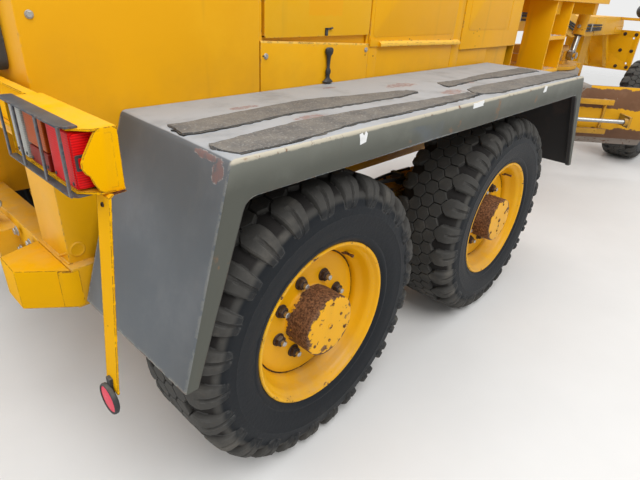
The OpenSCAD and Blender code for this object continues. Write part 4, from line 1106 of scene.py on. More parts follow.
blankStickers = [[(-0.596, 1.108), (-0.592, 1.096), (-0.59, 1.08), (-0.566, 1.084), (-0.562, 1.106), (-0.57, 1.113),
                  (-0.577, 1.102), (-0.584, 1.111)],
                 [(0.02, 1.099), (0.094, 1.101), (0.09, 1.107), (0.096, 1.112), (0.093, 1.12), (0.06, 1.1185),
                  (0.052, 1.1165), (0.019, 1.1165)],
                 [(0.656, 1.092), (0.668, 1.089), (0.672, 1.093), (0.688, 1.09), (0.692, 1.114), (0.664, 1.117),
                  (0.661, 1.104)]]


def fenderSheet(side, s):
    shape = fenderShape
    outer = [Vector(p) for p in shape["path"]]
    lower = [Vector(p) for p in shape["lower"]]
    lines = []
    for points, bend in ((outer, shape["bend"]), (lower, 0.03)):
        line, last = [points[0]], points[0]
        for k in (1, 2):
            start = points[k] + (points[k - 1] - points[k]).normalized() * bend
            end = points[k] + (points[k + 1] - points[k]).normalized() * bend
            line += [last.lerp(start, n / shape["runs"][k - 1]) for n in range(1, shape["runs"][k - 1])]
            line += corner(start, points[k], end, (0, 0.25, 0.5, 0.75, 1))
            last = end
        lines.append(line + [last.lerp(points[3], n / shape["runs"][2]) for n in range(1, shape["runs"][2] + 1)])
    bm = bmesh.new()
    rows = []
    for o, i in zip(*lines):
        down = (i - o).normalized()
        far = (i - o).length
        row = []
        for n in range(shape["across"] + 1):
            y = shape["inner"] + (shape["outer"] - shape["fold"] - shape["inner"]) * n / shape["across"]
            row.append((o, y, 0))
        for a in (22, 45, 68, 90):
            sunk = shape["fold"] * (1 - math.cos(math.radians(a)))
            row.append((o + down * sunk, shape["outer"] - shape["fold"] * (1 - math.sin(math.radians(a))), 1))
        for share in (0.35, 0.65, 0.95):
            row.append((o + down * (shape["fold"] + (far - shape["fold"] - 0.003) * share), shape["outer"], 2))
        row += [(o + down * far, shape["outer"] - 0.003, 3), (o + down * far, shape["outer"] - shape["lip"], 3)]
        made = []
        for spot, y, kind in row:
            near = Vector((spot.x * 3.1, y * 4.0 * s, spot.y * 3.1))
            dent = shape["dent"] * max(0.0, noise.noise(near) + 0.15) + 0.0008 * max(0.0, noise.noise(near * 5))
            if kind == 0:
                spot = spot + down * dent * min(1.0, (y - shape["inner"]) * 12 + 0.2)
            if kind in (2, 3):
                y -= dent * 1.3
            high = (spot.y - shape["path"][0][1]) / (shape["path"][1][1] - shape["path"][0][1])
            share = min(high, 1.0 - (spot.x - shape["path"][1][0]) / shape["skewRun"])
            inward = (shape["outer"] - y) / (shape["outer"] - shape["inner"])
            made.append(bm.verts.new(at(spot.x + shape["skew"] * inward * max(0.0, share), s * y, spot.y)))
        rows.append(made)
    weave(bm, rows)
    faceOut(bm)
    bm.faces.ensure_lookup_table()
    if sum(f.normal.z for f in bm.faces if f.calc_center_median().z > 1.11) < 0:
        bmesh.ops.reverse_faces(bm, faces=bm.faces[:])
    piece = thicken(newObject(f"fender_{side}Sheet", bm), shape["thick"])
    settle(piece, "fenderPaint", "rear_body", [f"fender_{side}"], 30)
    # grip strips, torn at their outer edges, over a black sheet that is painted shadow under the lifted edge
    bm = bmesh.new()
    for k, (rowA, rowB) in enumerate(gripStrips.values()):
        count = int(abs(rowB[-1][0] - rowB[0][0]) / 0.012)
        turnY = [[(x, s * y) for x, y in row] for row in (rowA, rowB)]
        roughSheet(bm, *turnY, 1.1185, 1.1224, count, 9, 0.0035, 0.006, 3.0 * k + s)
        middle = [(x, y - s * 0.05) for x, y in turnY[1]]
        if len(rowA) == len(rowB):
            middle = [((a[0] + b[0]) / 2, (a[1] + b[1]) / 2) for a, b in zip(*turnY)]
        # a black sheet reaching past the outer edge: painted shadow under the lifted edge
        black = [(x, y + s * 0.007) for x, y in turnY[1]]
        roughSheet(bm, middle, black, 1.118, 1.1207, count * 2, 3, 0.0075, 0.0015, 3.0 * k + s + 40, 1)
    make(f"grips_{side}", bm, "gripTape tornEdge", "rear_body", (), 50)


for side, s in sides.items():
    fenderSheet(side, s)
bm = bmesh.new()
for outline in blankStickers:
    flank(bm, outline, 1.077, 1.0796, -1, 0, 0)
make("blankStickers", bm, "stickerWhite", "rear_body")
print("stage: fenders")


# Hood: bent covers over the engine, flat panels with real gaps between them, and two side doors
hoodShape = {"y": 0.56, "low": 1.045, "shoulder": 1.88, "top": 1.95, "roofY": 0.49, "round": 0.03, "thick": 0.006,
             "seams": {"rear": (-1.18, -0.4875), "doors": (-0.4835, 0.0785), "side": (0.082, 0.7485),
                       "post": (0.7515, 0.8265), "front": (0.8295, 1.5)},
             "doorTop": 1.82, "frontLow": 1.2, "grille": (0.43, 1.235, 1.8),
             # flat lower panels: rear edge at foot and top, front edge at foot and top, height, inside, outside
             "panels": ((0.0815, 0.0815, (0.1385, 0.1345), 1.246, 0.553, 0.5585),
                        (0.1405, 0.1365, (0.748, 0.748), 1.245, 0.55, 0.556),
                        (0.8295, 0.8295, (1.16, 1.16), 1.197, 0.54, 0.547),
                        (1.166, 1.166, (1.44, 1.44), 1.197, 0.532, 0.5385))}
louvre = {"x": 0.425, "z": (1.535, 1.765), "y": 0.5612, "width": 0.026, "lift": 0.01, "count": 5, "step": 0.06}
sideDoor = {"x": (-0.4665, 0.0745), "z": (1.2845, 1.8155), "axisY": 0.567, "axisZ": 1.806}
hoodMarks = [(0.06, 1.21), (0.113, 1.204), (0.364, 1.262), (0.609, 1.252), (0.983, 1.282), (1.015, 1.26),
             (0.95, 1.275), (1.003, 1.296),
             (0.99, 1.212), (0.72, 1.251), (-0.474, 1.231)]


def overHood(low, inset=0.0):
    # the hood's section from one lower edge over the top to the other, as (y, z) with its outside on the left
    h = hoodShape
    y, roofY = h["y"] - inset, h["roofY"] - inset * 0.4
    points = [(y, low), (y, h["shoulder"]), (roofY, h["top"] - inset), (-roofY, h["top"] - inset), (-y, h["shoulder"]),
              (-y, low)]
    return roundedPath([(-p[0], p[1]) for p in points], h["round"])


def hoodShell():
    h = hoodShape
    bm = bmesh.new()
    bentPlate(bm, overHood(h["low"]), *h["seams"]["rear"], h["thick"], 0.004)
    bentPlate(bm, overHood(h["doorTop"] + 0.002), *h["seams"]["doors"], h["thick"])
    bentPlate(bm, overHood(1.249), *h["seams"]["side"], h["thick"])
    bentPlate(bm, overHood(h["low"], 0.004), *h["seams"]["post"], h["thick"])
    bentPlate(bm, overHood(h["frontLow"]), *h["seams"]["front"], h["thick"], 0.004)
    # flat lower panels, the one under the door with a rolled upper lip
    for s in (1, -1):
        x0, x1 = h["seams"]["doors"]
        flank(bm, [(x0, h["low"]), (x1, h["low"]), (x1, 1.246), (x0, 1.272)], 0.5545, 0.5598, s, 0, 0.001)
        lip = [(0.556, -0.006), (0.559, -0.004), (0.56, 0.0), (0.5592, 0.004), (0.556, 0.0055), (0.548, 0.0058),
               (0.548, 0.0)]
        rows = [[bm.verts.new(at(x0 + (x1 - x0) * n / 12, s * y, 1.272 - 0.026 * n / 12 + dz)) for y, dz in lip]
                for n in range(13)]
        faceOut(bm, weave(bm, rows, 1, around=True) + [bm.faces.new(rows[0]), bm.faces.new(rows[-1])])
        for lowRear, rear, front, high, y0, y1 in h["panels"]:
            flank(bm, [(lowRear, h["low"]), (front[0], h["low"]), (front[1], high), (rear, high)], y0, y1, s, 0, 0.001)
        # strips behind the gaps, darker in the shade
        for x, y in ((-0.4855, 0.552), (0.0803, 0.552), (0.75, 0.55), (0.828, 0.55)):
            flank(bm, oblong(x - 0.012, x + 0.012, h["low"], 1.86), y - 0.006, y, s, 0, 0)
        flank(bm, [(x0, 1.255), (x1, 1.24), (x1, 1.3), (x0, 1.3)], 0.538, 0.543, s, 0, 0)
        # door frame: a channel behind the door's edge
        for edges in ((x0, -0.4672), (0.075, x1)):
            flank(bm, oblong(*edges, 1.276, 1.822), 0.538, 0.5445, s, 0, 0)
        # drip rail along the side panel, with its end bracket
        rail = [(0.556, 1.262), (0.566, 1.2585), (0.5745, 1.253), (0.576, 1.247), (0.5745, 1.241), (0.57, 1.24),
                (0.556, 1.244)]
        drops = ((0.14, -0.001), (0.3, -0.003), (0.5, -0.007), (0.798, -0.013))
        rows = [[bm.verts.new(at(x, s * y, z + drop)) for y, z in rail] for x, drop in drops]
        faceOut(bm, weave(bm, rows, 1, around=True) + [bm.faces.new(rows[0]), bm.faces.new(rows[-1])])
        flank(bm, [(0.083, 1.24), (0.148, 1.238), (0.152, 1.262), (0.083, 1.27)], 0.556, 0.564, s, 0, 0.002)
        flank(bm, oblong(0.1, 0.742, 1.275, 1.868, 0.02), 0.5595, 0.5612, s, 0, 0.0008)
        # pressed panel on the front cover, and a narrow strip beside it
        flank(bm, oblong(0.88, 1.34, 1.29, 1.8, 0.025), 0.5595, 0.5618, s, 0, 0.001)
        flank(bm, oblong(1.352, 1.372, 1.285, 1.81, 0.004), 0.5595, 0.5612, s, 0, 0.0006)
    # rear wall with the grille's opening, front wall
    grilleY, grilleLow, grilleHigh = h["grille"]
    outer = [(p.x, p.y) for p in overHood(h["low"], 0.003)]
    inner = oblong(-grilleY, grilleY, grilleLow, grilleHigh, 0.02)
    windowed(bm, outer, inner, fromBehind, -1.1795, -1.1735)
    wall(bm, list(reversed(outer)), 1.492, 1.4995, 0, 0)
    # pressed ribs along the roof
    for y in (-0.3, 0.0, 0.3):
        for low, high in ((-1.1, -0.55), (0.14, 0.7), (0.9, 1.42)):
            tray(bm, oblong(low, high, y - 0.03, y + 0.03, 0.028, 5), 1.948, 1.9498, 0, 0.001)
    make("hoodShell", bm, "hoodPaint lipPaint", "rear_body", ["hood", "hood_top"], 30)


def sideDoors():
    d = sideDoor
    for side, s in sides.items():
        bm = bmesh.new()
        (x0, x1), (z0, z1) = d["x"], d["z"]
        # outer skin with a cut corner over each hinge lug, and a folded edge behind it
        skin = [(x0, z0 + 0.006), (x0 + 0.006, z0), (x1 - 0.006, z0), (x1, z0 + 0.006), (x1, z1 - 0.046),
                (x1 - 0.044, z1 - 0.046), (x1 - 0.046, z1),
                (x0 + 0.05, z1), (x0 + 0.048, z1 - 0.046), (x0, z1 - 0.046)]
        flank(bm, skin, 0.5542, 0.5596, s, 0, 0.0016)
        for left, right, top in ((x0 + 0.002, x1 - 0.002, z0 + 0.006), (x0 + 0.002, x0 + 0.006, z1 - 0.05),
                                 (x1 - 0.006, x1 - 0.002, z1 - 0.05)):
            flank(bm, oblong(left, right, z0 + 0.002, top), 0.532, 0.5545, s, 0, 0)
        flank(bm, oblong(x0 + 0.05, x1 - 0.05, z0 + 0.12, z0 + 0.15), 0.534, 0.5545, s, 0, 0)
        # hinge: pin, knuckles and a strap welded on the skin
        turn = alongX(-0.47, s * d["axisY"], d["axisZ"])
        lathe(bm, [(0.0052, 0.0), (0.0052, 0.53)], turn, 12, 1)
        for start in (-0.425, -0.04):
            turn = alongX(start, s * d["axisY"], d["axisZ"])
            lathe(bm, [(0.0085, 0.0), (0.0085, 0.06)], turn, 14, 0)
            flank(bm, oblong(start, start + 0.06, 1.742, 1.806, 0.006), 0.5592, 0.5632, s, 0, 0.001)
        # hook for the rubber latch: a bent steel strip
        for edges in ((-0.1835, -0.171, 1.2865, 1.312), (-0.1835, -0.156, 1.306, 1.3125)):
            flank(bm, oblong(*edges, 0.002), 0.5592, 0.565, s, 1, 0.001)
        flank(bm, [(-0.16, 1.3065), (-0.147, 1.3105), (-0.149, 1.315), (-0.158, 1.312)], 0.56, 0.568, s, 1, 0.0008)
        make(f"sideDoor_{side}", bm, "doorPaint darkPlastic", f"hood_door_{side}_body", [f"hood_door_{side}"], 30)
        # hinge lugs on the hood
        bm = bmesh.new()
        for x in (-0.468, 0.038):
            prof = [(0.559, 1.852), (0.5665, 1.848), (0.575, 1.8095), (0.574, 1.803), (0.568, 1.7975), (0.5625, 1.8),
                    (0.5615, 1.806), (0.559, 1.825)]
            wall(bm, [(s * y, z) for y, z in prof], x, x + 0.02, 0, 0.001)
        make(f"doorLugs_{side}", bm, "hoodPaint", "rear_body")
        # black rubber latch hanging from its anchor
        bm = bmesh.new()
        profile = [(0, 1.2478), (0.0105, 1.2465), (0.0158, 1.242), (0.0165, 1.235), (0.0142, 1.226), (0.0105, 1.218),
                   (0.0085, 1.205), (0.007, 1.185),
                   (0.007, 1.176), (0.0095, 1.173), (0.0125, 1.166), (0.0122, 1.159), (0.009, 1.153), (0.0082, 1.145),
                   (0.0105, 1.139),
                   (0.019, 1.133), (0.0245, 1.1285), (0.024, 1.125), (0, 1.1245)]
        turn = alongZ(-0.163, s * 0.568, 0) @ Matrix.Diagonal((1.0, 0.55, 1.0, 1.0))
        rings = lathe(bm, profile, turn, 24, 0)
        for ring in rings[:5]:
            for v in ring:
                v.co.x += 0.004 * (1 if v.co.x > at(-0.163, 0, 0).x else -0.6)
        flank(bm, oblong(-0.172, -0.15, 1.231, 1.2445, 0.003), 0.559, 0.565, s, 0, 0.001)
        faceOut(bm)
        make(f"rubberLatch_{side}", bm, "blackRubber", "rear_body", (), 40)


def hoodDetails():
    # louvres pressed into the side panels: one blade, repeated
    for side, s in sides.items():
        bm = bmesh.new()
        z0, z1 = louvre["z"]
        section = []
        for share in [k / 8 for k in range(9)]:
            bulge = math.sin(math.pi * min(1.0, share * 1.25 + 0.02)) ** 0.6 if share < 0.8 else 0.0
            section.append((louvre["x"] + louvre["width"] * share, louvre["lift"] * bulge))
        grid = []
        for share in [n / 10 for n in range(11)]:
            end, z = min(1.0, min(share, 1 - share) * 9) ** 0.5, z0 + (z1 - z0) * share
            grid.append([bm.verts.new(at(x, s * (louvre["y"] + lift * end), z)) for x, lift in section])
        weave(bm, grid)
        faceOut(bm)
        if sum(f.normal.y for f in bm.faces) * s < 0:
            bmesh.ops.reverse_faces(bm, faces=bm.faces[:])
        blade = thicken(newObject(f"louvres_{side}", bm), 0.0012)
        repeated(blade, "row", "hoodPaint", "rear_body", Count=louvre["count"], Step=(louvre["step"], 0, 0))
    for s, face, tag in ((1, "+Y", "left"), (-1, "-Y", "right")):
        dots(f"hoodMarks_{tag}", [at(x, s * 0.5618 if x > 0.88 and z > 1.29 else s * 0.5602, z) for x, z in hoodMarks],
             face, "rear_body", "nutRust", 0.0055, slot="yellow_paint")
        places = [at(x, s * 0.5598, z) for x in (-0.462, 0.062) for z in (1.085, 1.23)]
        places += [at(x, s * 0.547, 1.085) for x in (0.86, 1.13)] + [at(x, s * 0.56, 1.84)
            for x in (-1.15, -0.52, 0.12, 0.72, 0.86, 1.46)]
        places += [at(-1.15, s * 0.56, z) for z in (1.09, 1.35, 1.6)]
        bolts(f"hoodBolts_{tag}", places, face, "rear_body", (0.013, 0.0055, 0.0095), slot="yellow_paint")
    # grab rails and a filler cap on the roof
    bm = bmesh.new()
    for y in (0.46, -0.46):
        line = roundedPath([(0.9, 1.945), (0.9, 1.99), (1.4, 1.99), (1.4, 1.945)], 0.03)
        tube(bm, [at(p.x, y, p.y) for p in line], 0.011, 12, 0)
    make("roofRails", bm, "darkPaint", "rear_body")
    bm = bmesh.new()
    turn = alongZ(0.3, -0.2, 1.948)
    lathe(bm, [(0, 0), (0.062, 0), (0.062, 0.008), (0.046, 0.014), (0.046, 0.03), (0.052, 0.032), (0.052, 0.05),
               (0.047, 0.055), (0, 0.056)], turn, 32, 0)
    for k in range(3):
        turn = alongZ(0.3, -0.2, 2.0) @ Matrix.Rotation(tau * k / 3, 4, "Z")
        block(bm, (0.0, -0.006, -0.004), (0.047, 0.006, 0.01), 0.002, turn=turn)
    make("fillerCap", bm, "darkPlastic", "rear_body")


def rearGrille():
    # frame with round corners, tilted slats, and a mesh behind them
    grilleY, low, high = hoodShape["grille"]
    bm = bmesh.new()
    windowed(bm, oblong(-grilleY - 0.018, grilleY + 0.018, low - 0.018, high + 0.018, 0.03),
             oblong(-grilleY + 0.022, grilleY - 0.022, low + 0.022, high - 0.022, 0.016),
             fromBehind, -1.2035, -1.18)
    make("grilleFrame", bm, "darkPaint", "rear_body", ["rear_grille"], 40)
    bm = bmesh.new()
    y = grilleY - 0.015
    blade = [(-1.199, low + 0.04), (-1.1975, low + 0.04), (-1.186, low + 0.056), (-1.185, low + 0.064),
             (-1.1868, low + 0.064), (-1.188, low + 0.057)]
    prism(bm, blade, -y, y, fromRight, 0, 0)
    repeated(newObject("grilleSlats", bm), "row", "darkPaint", "rear_body", Count=17, Step=(0, 0, 0.0278))
    bm = bmesh.new()
    tube(bm, [at(-1.182, -y, low + 0.03), at(-1.182, y, low + 0.03)], 0.0012, 4)
    repeated(newObject("grilleMeshA", bm), "row", "innerDark", "rear_body", Count=43, Step=(0, 0, 0.012))
    bm = bmesh.new()
    tube(bm, [at(-1.1815, -y, low + 0.02), at(-1.1815, -y, high - 0.02)], 0.0012, 4)
    repeated(newObject("grilleMeshB", bm), "row", "innerDark", "rear_body", Count=69, Step=(0, 0.0122, 0))
    # radiator core behind the mesh
    bm = bmesh.new()
    box(bm, (-1.15, -0.4, 1.26), (-1.08, 0.4, 1.78), 0.004)
    make("radiatorTank", bm, "engineIron", "rear_body", slot="dark_paint")
    bm = bmesh.new()
    box(bm, (-1.155, -0.37, 1.3), (-1.151, -0.362, 1.74))
    repeated(newObject("radiatorFins", bm), "row", "engineIron", "rear_body", slot="dark_paint", Count=47,
             Step=(0, 0.0158, 0))
    places = [at(-1.2035, s * (grilleY - 0.002), z) for s in (1, -1)
              for z in (low + 0.02, (low + high) / 2, high - 0.02)]
    bolts("grilleBolts", places, "-X", "rear_body", (0.016, 0.007, 0.012), slot="dark_paint")


hoodShell()
sideDoors()
hoodDetails()
rearGrille()
print("stage: hood")


# Lamp bar across the back: a folded channel, lamp boxes behind guards, end plates, hanging straps and reflectors
lampBar = {"back": -1.215, "front": -1.2035, "end": 1.036, "low": 1.101, "high": 1.207, "shelfInner": 0.706,
           "shelfX": -1.277,
           # end plate's outline in X and Z
           "plate": [(-1.204, 1.1), (-1.204, 1.206), (-1.212, 1.2105), (-1.236, 1.2105), (-1.2435, 1.206),
                     (-1.266, 1.17), (-1.2715, 1.158),
                     (-1.2715, 1.148), (-1.267, 1.138), (-1.26, 1.132), (-1.256, 1.118), (-1.248, 1.1035),
                     (-1.24, 1.0995)]}
lampBoxes = {"clear": (0.724, 0.793, [("lensClear", 1.104, 1.204)]),
             "turn": (0.801, 0.899, [("lensDarkRed", 1.104, 1.138), ("lensAmber", 1.141, 1.204)]),
             "tail": (0.913, 1.012, [("lensRed", 1.104, 1.204)])}
# the strap that hangs from the bar: middle of its back at each end, and the reflector's middle
hanger = {"top": (-1.24, 1.02, 1.0905), "low": (-1.2745, 0.986, 0.628), "width": 0.049,
          "reflector": (-1.2765, 0.984, 0.606)}
guardBars = {"x": (-1.2898, -1.2862), "y": (0.7095, 0.7965, 0.9065, 1.0065), "width": 0.0105, "z": (1.0935, 1.2145)}


def lampCrossbar():
    b = lampBar
    bm = bmesh.new()
    channel = [(b["front"], b["low"]), (b["front"], b["high"]), (b["back"] - 0.012, b["high"]),
               (b["back"] - 0.012, b["high"] - 0.005), (b["back"], b["high"] - 0.005),
               (b["back"], b["low"] + 0.005), (b["back"] - 0.012, b["low"] + 0.005), (b["back"] - 0.012, b["low"])]
    prism(bm, channel, -b["end"] + 0.001, b["end"] - 0.001, fromRight, 0, 0.0018)
    for s in (1, -1):
        for z in (b["high"], b["low"] - 0.0045):
            outline = [(b["front"], b["shelfInner"]), (b["front"], b["end"] - 0.001),
                       (b["shelfX"] + 0.03, b["end"] - 0.001), (b["shelfX"], b["end"] - 0.03),
                       (b["shelfX"], b["shelfInner"])]
            tray(bm, outline, z, z + 0.0045, 0, 0.0012, s)
        flank(bm, b["plate"], b["end"] - 0.0062, b["end"] - 0.0004, s, 0, 0.0014)
        flank(bm, oblong(-1.276, -1.215, 1.1, 1.208, 0.004), 0.706, 0.7095, s, 0, 0.001)
        for y in (b["shelfInner"] + 0.03, 0.86, 1.0):
            wall(bm, [(s * (y - 0.01), 1.205), (s * (y + 0.01), 1.205), (s * (y + 0.006), 1.19),
                      (s * (y - 0.006), 1.19)], -1.222, -1.2145, 0, 0.001)
        # strap: a flat bar with a turned head bolted under the shelf
        (topX, topY, topZ), (lowX, lowY, lowZ) = hanger["top"], hanger["low"]
        middle = [(lowX, lowY, lowZ), (lowX * 0.97 + topX * 0.03, lowY * 0.97 + topY * 0.03, lowZ + 0.02),
                  (topX, topY, topZ), (topX + 0.006, topY, topZ + 0.0045), (-1.21, topY, topZ + 0.0065)]
        half = hanger["width"] / 2
        section = ((0, -half), (0, half), (0.0045, half), (0.0045, -half))
        rows = [[bm.verts.new(at(x + dx, s * (y + dy), z)) for dx, dy in section] for x, y, z in middle]
        weave(bm, rows, 0, around=True)
        bm.faces.new(rows[0][::-1])
        bm.faces.new(rows[-1])
    box(bm, (-1.204, -0.3, 1.101), (-1.1805, 0.3, 1.161), 0.003)
    for y in (-0.26, 0.26):
        prism(bm, [(-1.196, 1.161), (-1.181, 1.161), (-1.181, 1.2)], y - 0.004, y + 0.004, fromRight, 0, 0.001)
    faceOut(bm)
    make("lampCrossbar", bm, "barPaint", "rear_body", ["lamp_bar"])
    places = [at(-1.2415, s * 1.0185, 1.072) for s in (1, -1)]
    bolts("strapBolts", places, "-X", "rear_body", (0.006, 0.003, 0.0045), "nutRust", slot="yellow_paint")


def lampCluster(side, s):
    # lamp housings in black, each lens crowned, with flutes from its material
    bm = bmesh.new()
    names = ["darkPlastic"]
    for low, high, parts in lampBoxes.values():
        box(bm, (-1.2475, s * low, 1.1015), (-1.2165, s * high, 1.2065), 0.003)
        for finishName, z0, z1 in parts:
            if finishName not in names:
                names.append(finishName)
            index = names.index(finishName)
            box(bm, (-1.2765, s * (low + 0.002), z0), (-1.246, s * (high - 0.002), z1), 0.0045, 3, index)
    # the screws that hold each lens
    for low, high, _ in lampBoxes.values():
        for y in (low + 0.0125, high - 0.0125):
            turn = alongX(-1.2764, s * y, 1.1135, -1)
            lathe(bm, [(0.0034, 0), (0.0034, 0.0008), (0.0022, 0.0016), (0.001, 0.0006), (0, 0.0006)], turn, 12, 0)
    # side face of the outer lens, with the small dark tab on it
    red = names.index("lensRed")
    flank(bm, oblong(-1.2745, -1.223, 1.106, 1.202, 0.008), 1.009, 1.0145, s, red, 0.002)
    flank(bm, oblong(-1.2735, -1.2545, 1.1385, 1.1665, 0.003), 1.014, 1.0165, s, 0, 0.001)
    flank(bm, oblong(-1.269, -1.259, 1.1435, 1.1615, 0.002), 1.016, 1.0178, s, red, 0.0008)
    make(f"lampCluster_{side}", bm, " ".join(names), "rear_body", ["tail_lamps"] if s < 0 else (), slot="red_lens")
    # guards: flat shelves with a cut corner, and upright bars
    bm = bmesh.new()
    g = guardBars
    for z, depth in ((g["z"][0] - 0.0012, -1.2545), (g["z"][1] - 0.0028, -1.2598)):
        outline = [(-1.2898, 0.7065), (-1.2898, 1.0), (-1.279, 1.0155), (depth, 1.0155), (depth, 0.7065)]
        tray(bm, outline, z, z + 0.0038, 0, 0.0009, s)
    for y in g["y"]:
        wall(bm, oblong(s * (y - g["width"] / 2), s * (y + g["width"] / 2), *g["z"]), *g["x"], 0, 0.0008)
    make(f"lampGuard_{side}", bm, "guardPaint", "rear_body", ["lamp_guards"] if s < 0 else ())
    # reflector: a cup with a rolled rim, a prism disc and the clip that holds it on the strap
    bm = bmesh.new()
    x, y, z = hanger["reflector"]
    turn = alongX(x, s * y, z, -1)
    lathe(bm, [(0.033, 0.0), (0.0372, 0.003), (0.0378, 0.0085), (0.0366, 0.0118), (0.0345, 0.0128), (0.0328, 0.0115),
               (0.0322, 0.0095)], turn, 40, 0)
    lathe(bm, [(0.0322, 0.0094), (0.0316, 0.0104), (0.024, 0.0118), (0.012, 0.0127), (0, 0.013)], turn, 40, 1)
    box(bm, (x - 0.004, s * y - 0.009, z + 0.028), (x + 0.008, s * y + 0.009, z + 0.056), 0.002)
    make(f"reflector_{side}", bm, "blackRubber reflectorPink", "rear_body", ["reflectors"] if s < 0 else (),
         slot="reflector")


lampCrossbar()
for side, s in sides.items():
    lampCluster(side, s)
print("stage: lamps")


# Engine: block, head, covers, manifold, filters, fan and belt
engineShape = {"crank": (-0.76, 0.0, 0.165, 0.865, 1.15), "head": (-0.73, -0.03, 0.125, 1.15, 1.275),
               "cover": (-0.71, -0.05, 0.088, 1.275, 1.365),
               "cylinders": 6, "fanX": -0.89, "fanZ": 1.13, "fanR": 0.225}
exhaustAxis = (-0.3, 0.25)


def makeEngine():
    e = engineShape
    bm = bmesh.new()
    for key, bevel in (("crank", 0.016), ("head", 0.01), ("cover", 0.026)):
        x0, x1, y, z0, z1 = e[key]
        box(bm, (x0, -y, z0), (x1, y, z1), bevel, 3, 1 if key == "cover" else 0)
    box(bm, (-0.745, -0.185, 0.955), (-0.015, 0.185, 0.975), 0.006)
    pan = [(-0.13, 0.868), (0.13, 0.868), (0.12, 0.79), (0.09, 0.763), (-0.09, 0.763), (-0.12, 0.79)]
    prism(bm, pan, -0.71, -0.12, fromBehind, 0, 0.008)
    # flywheel housing, pulleys and the fan's hub
    lathe(bm, [(0.205, 0), (0.212, 0.008), (0.212, 0.04), (0.19, 0.06), (0.12, 0.078)], alongX(0.0, 0, 1.0), 40, 0)
    for y, z, r in ((0.0, 0.985, 0.088), (0.15, 1.175, 0.045), (-0.13, 1.12, 0.052), (0.0, 1.13, 0.06)):
        lathe(bm, [(r, 0), (r, 0.006), (r - 0.008, 0.012), (r, 0.018), (r, 0.026), (0.03, 0.026), (0.03, 0.04)],
              alongX(-0.812, y, z), 28, 2)
    belt = [(-0.094, 0.985), (-0.06, 1.176), (0.148, 1.228), (0.16, 1.165), (0.075, 0.925), (0.0, 0.89),
            (-0.075, 0.925)]
    tube(bm, [at(-0.798, y, z) for y, z in belt + belt[:2]], 0.0055, 6, 3)
    # starter, alternator, oil filters, air filter
    lathe(bm, [(0.052, 0), (0.056, 0.01), (0.056, 0.17), (0.04, 0.19), (0.04, 0.25)], alongX(-0.26, 0.19, 0.93), 24, 2)
    lathe(bm, [(0.06, 0.0), (0.066, 0.012), (0.066, 0.1), (0.05, 0.13)], alongX(-0.8, 0.165, 1.175), 24, 4)
    for x in (-0.5, -0.38):
        lathe(bm, [(0.04, 0.0), (0.045, 0.008), (0.045, 0.145), (0.036, 0.158)], alongZ(x, -0.2, 0.9), 24, 1)
    lathe(bm, [(0.08, 0), (0.088, 0.01), (0.088, 0.3), (0.094, 0.305), (0.094, 0.325), (0.088, 0.33), (0.08, 0.36)],
          alongX(-0.31, -0.14, 1.405), 32, 2)
    tube(bm, [at(*p) for p in ((-0.31, -0.14, 1.405), (-0.4, -0.14, 1.405), (-0.47, -0.13, 1.36), (-0.49, -0.12, 1.27),
                               (-0.49, -0.11, 1.22))], 0.036, 16, 3)
    # manifold
    tube(bm, [at(-0.7, 0.185, 1.205), at(-0.06, 0.185, 1.205)], 0.03, 14, 5)
    for k in range(e["cylinders"]):
        x = -0.665 + k * 0.114
        tube(bm, [at(x, 0.12, 1.225), at(x, 0.155, 1.222), at(x + 0.01, 0.185, 1.208)], 0.021, 10, 5)
        hexBolt(bm, alongY(x - 0.027, 0.1245, 1.235), 0.013, 0.008, 0.009, 2)
    tube(bm, [at(*p) for p in ((-0.3, 0.185, 1.215), (-0.3, 0.205, 1.3), (-0.3, 0.245, 1.4), (-0.3, 0.25, 1.505))],
         0.038, 18, 5)
    # mounts out to the rails
    for x in (-0.87, -0.08):
        for s in (1, -1):
            box(bm, (x + 0.01, s * 0.12, 0.862), (x + 0.07, s * 0.252, 0.9), 0.005)
            lathe(bm, [(0.03, 0), (0.034, 0.004), (0.034, 0.022), (0.03, 0.026)], alongZ(x + 0.04, s * 0.235, 0.838),
                  20, 3)
    box(bm, (-0.865, -0.1, 0.88), (-0.74, 0.1, 0.93), 0.008)
    # hoses to the radiator
    for z, y in ((1.42, 0.12), (0.9, -0.12)):
        tube(bm, [at(*p) for p in ((-0.72, y * 0.6, z - 0.12 if z > 1 else z + 0.04), (-0.8, y, z), (-0.93, y, z),
                                   (-0.948, y, z))], 0.026, 14, 3)
    make("engineParts", bm, "engineIron darkPaint zincBolt blackRubber lampBowl nutRust", "rear_body", ["engine"])
    # fan: one twisted blade, repeated
    bm = bmesh.new()
    rows = []
    for k in range(7):
        share = k / 6
        radius, pitch, chord = 0.055 + (e["fanR"] - 0.065) * share, math.radians(52 - 24 * share), 0.05 + 0.03 * share
        ring = []
        for u, w in ((-0.5, 0), (-0.2, 0.004), (0.2, 0.005), (0.5, 0), (0.2, 0.0025), (-0.2, 0.0015)):
            across, deep = u * chord, w
            side = across * math.cos(pitch) - deep * math.sin(pitch)
            ring.append(bm.verts.new((radius, side, across * math.sin(pitch) + deep * math.cos(pitch))))
        rows.append(ring)
    weave(bm, rows, 0, around=True)
    bm.faces.new(rows[0])
    bm.faces.new(rows[-1])
    faceOut(bm)
    repeated(newObject("coolingFan", bm), "ring", "darkPlastic", "rear_body", alongX(e["fanX"] + 0.02, 0, e["fanZ"]),
             Count=7)
    bm = bmesh.new()
    lathe(bm, [(0.058, -0.01), (0.062, 0), (0.062, 0.04), (0.05, 0.05)], alongX(e["fanX"], 0, e["fanZ"]), 28, 0)
    lathe(bm, [(0.244, -0.045), (0.232, -0.04), (0.231, 0.03), (0.236, 0.034), (0.236, -0.035), (0.244, -0.04)],
          alongX(e["fanX"], 0, e["fanZ"]), 48, 0, closed=True)
    faceOut(bm)
    make("fanShroud", bm, "darkPlastic", "rear_body")


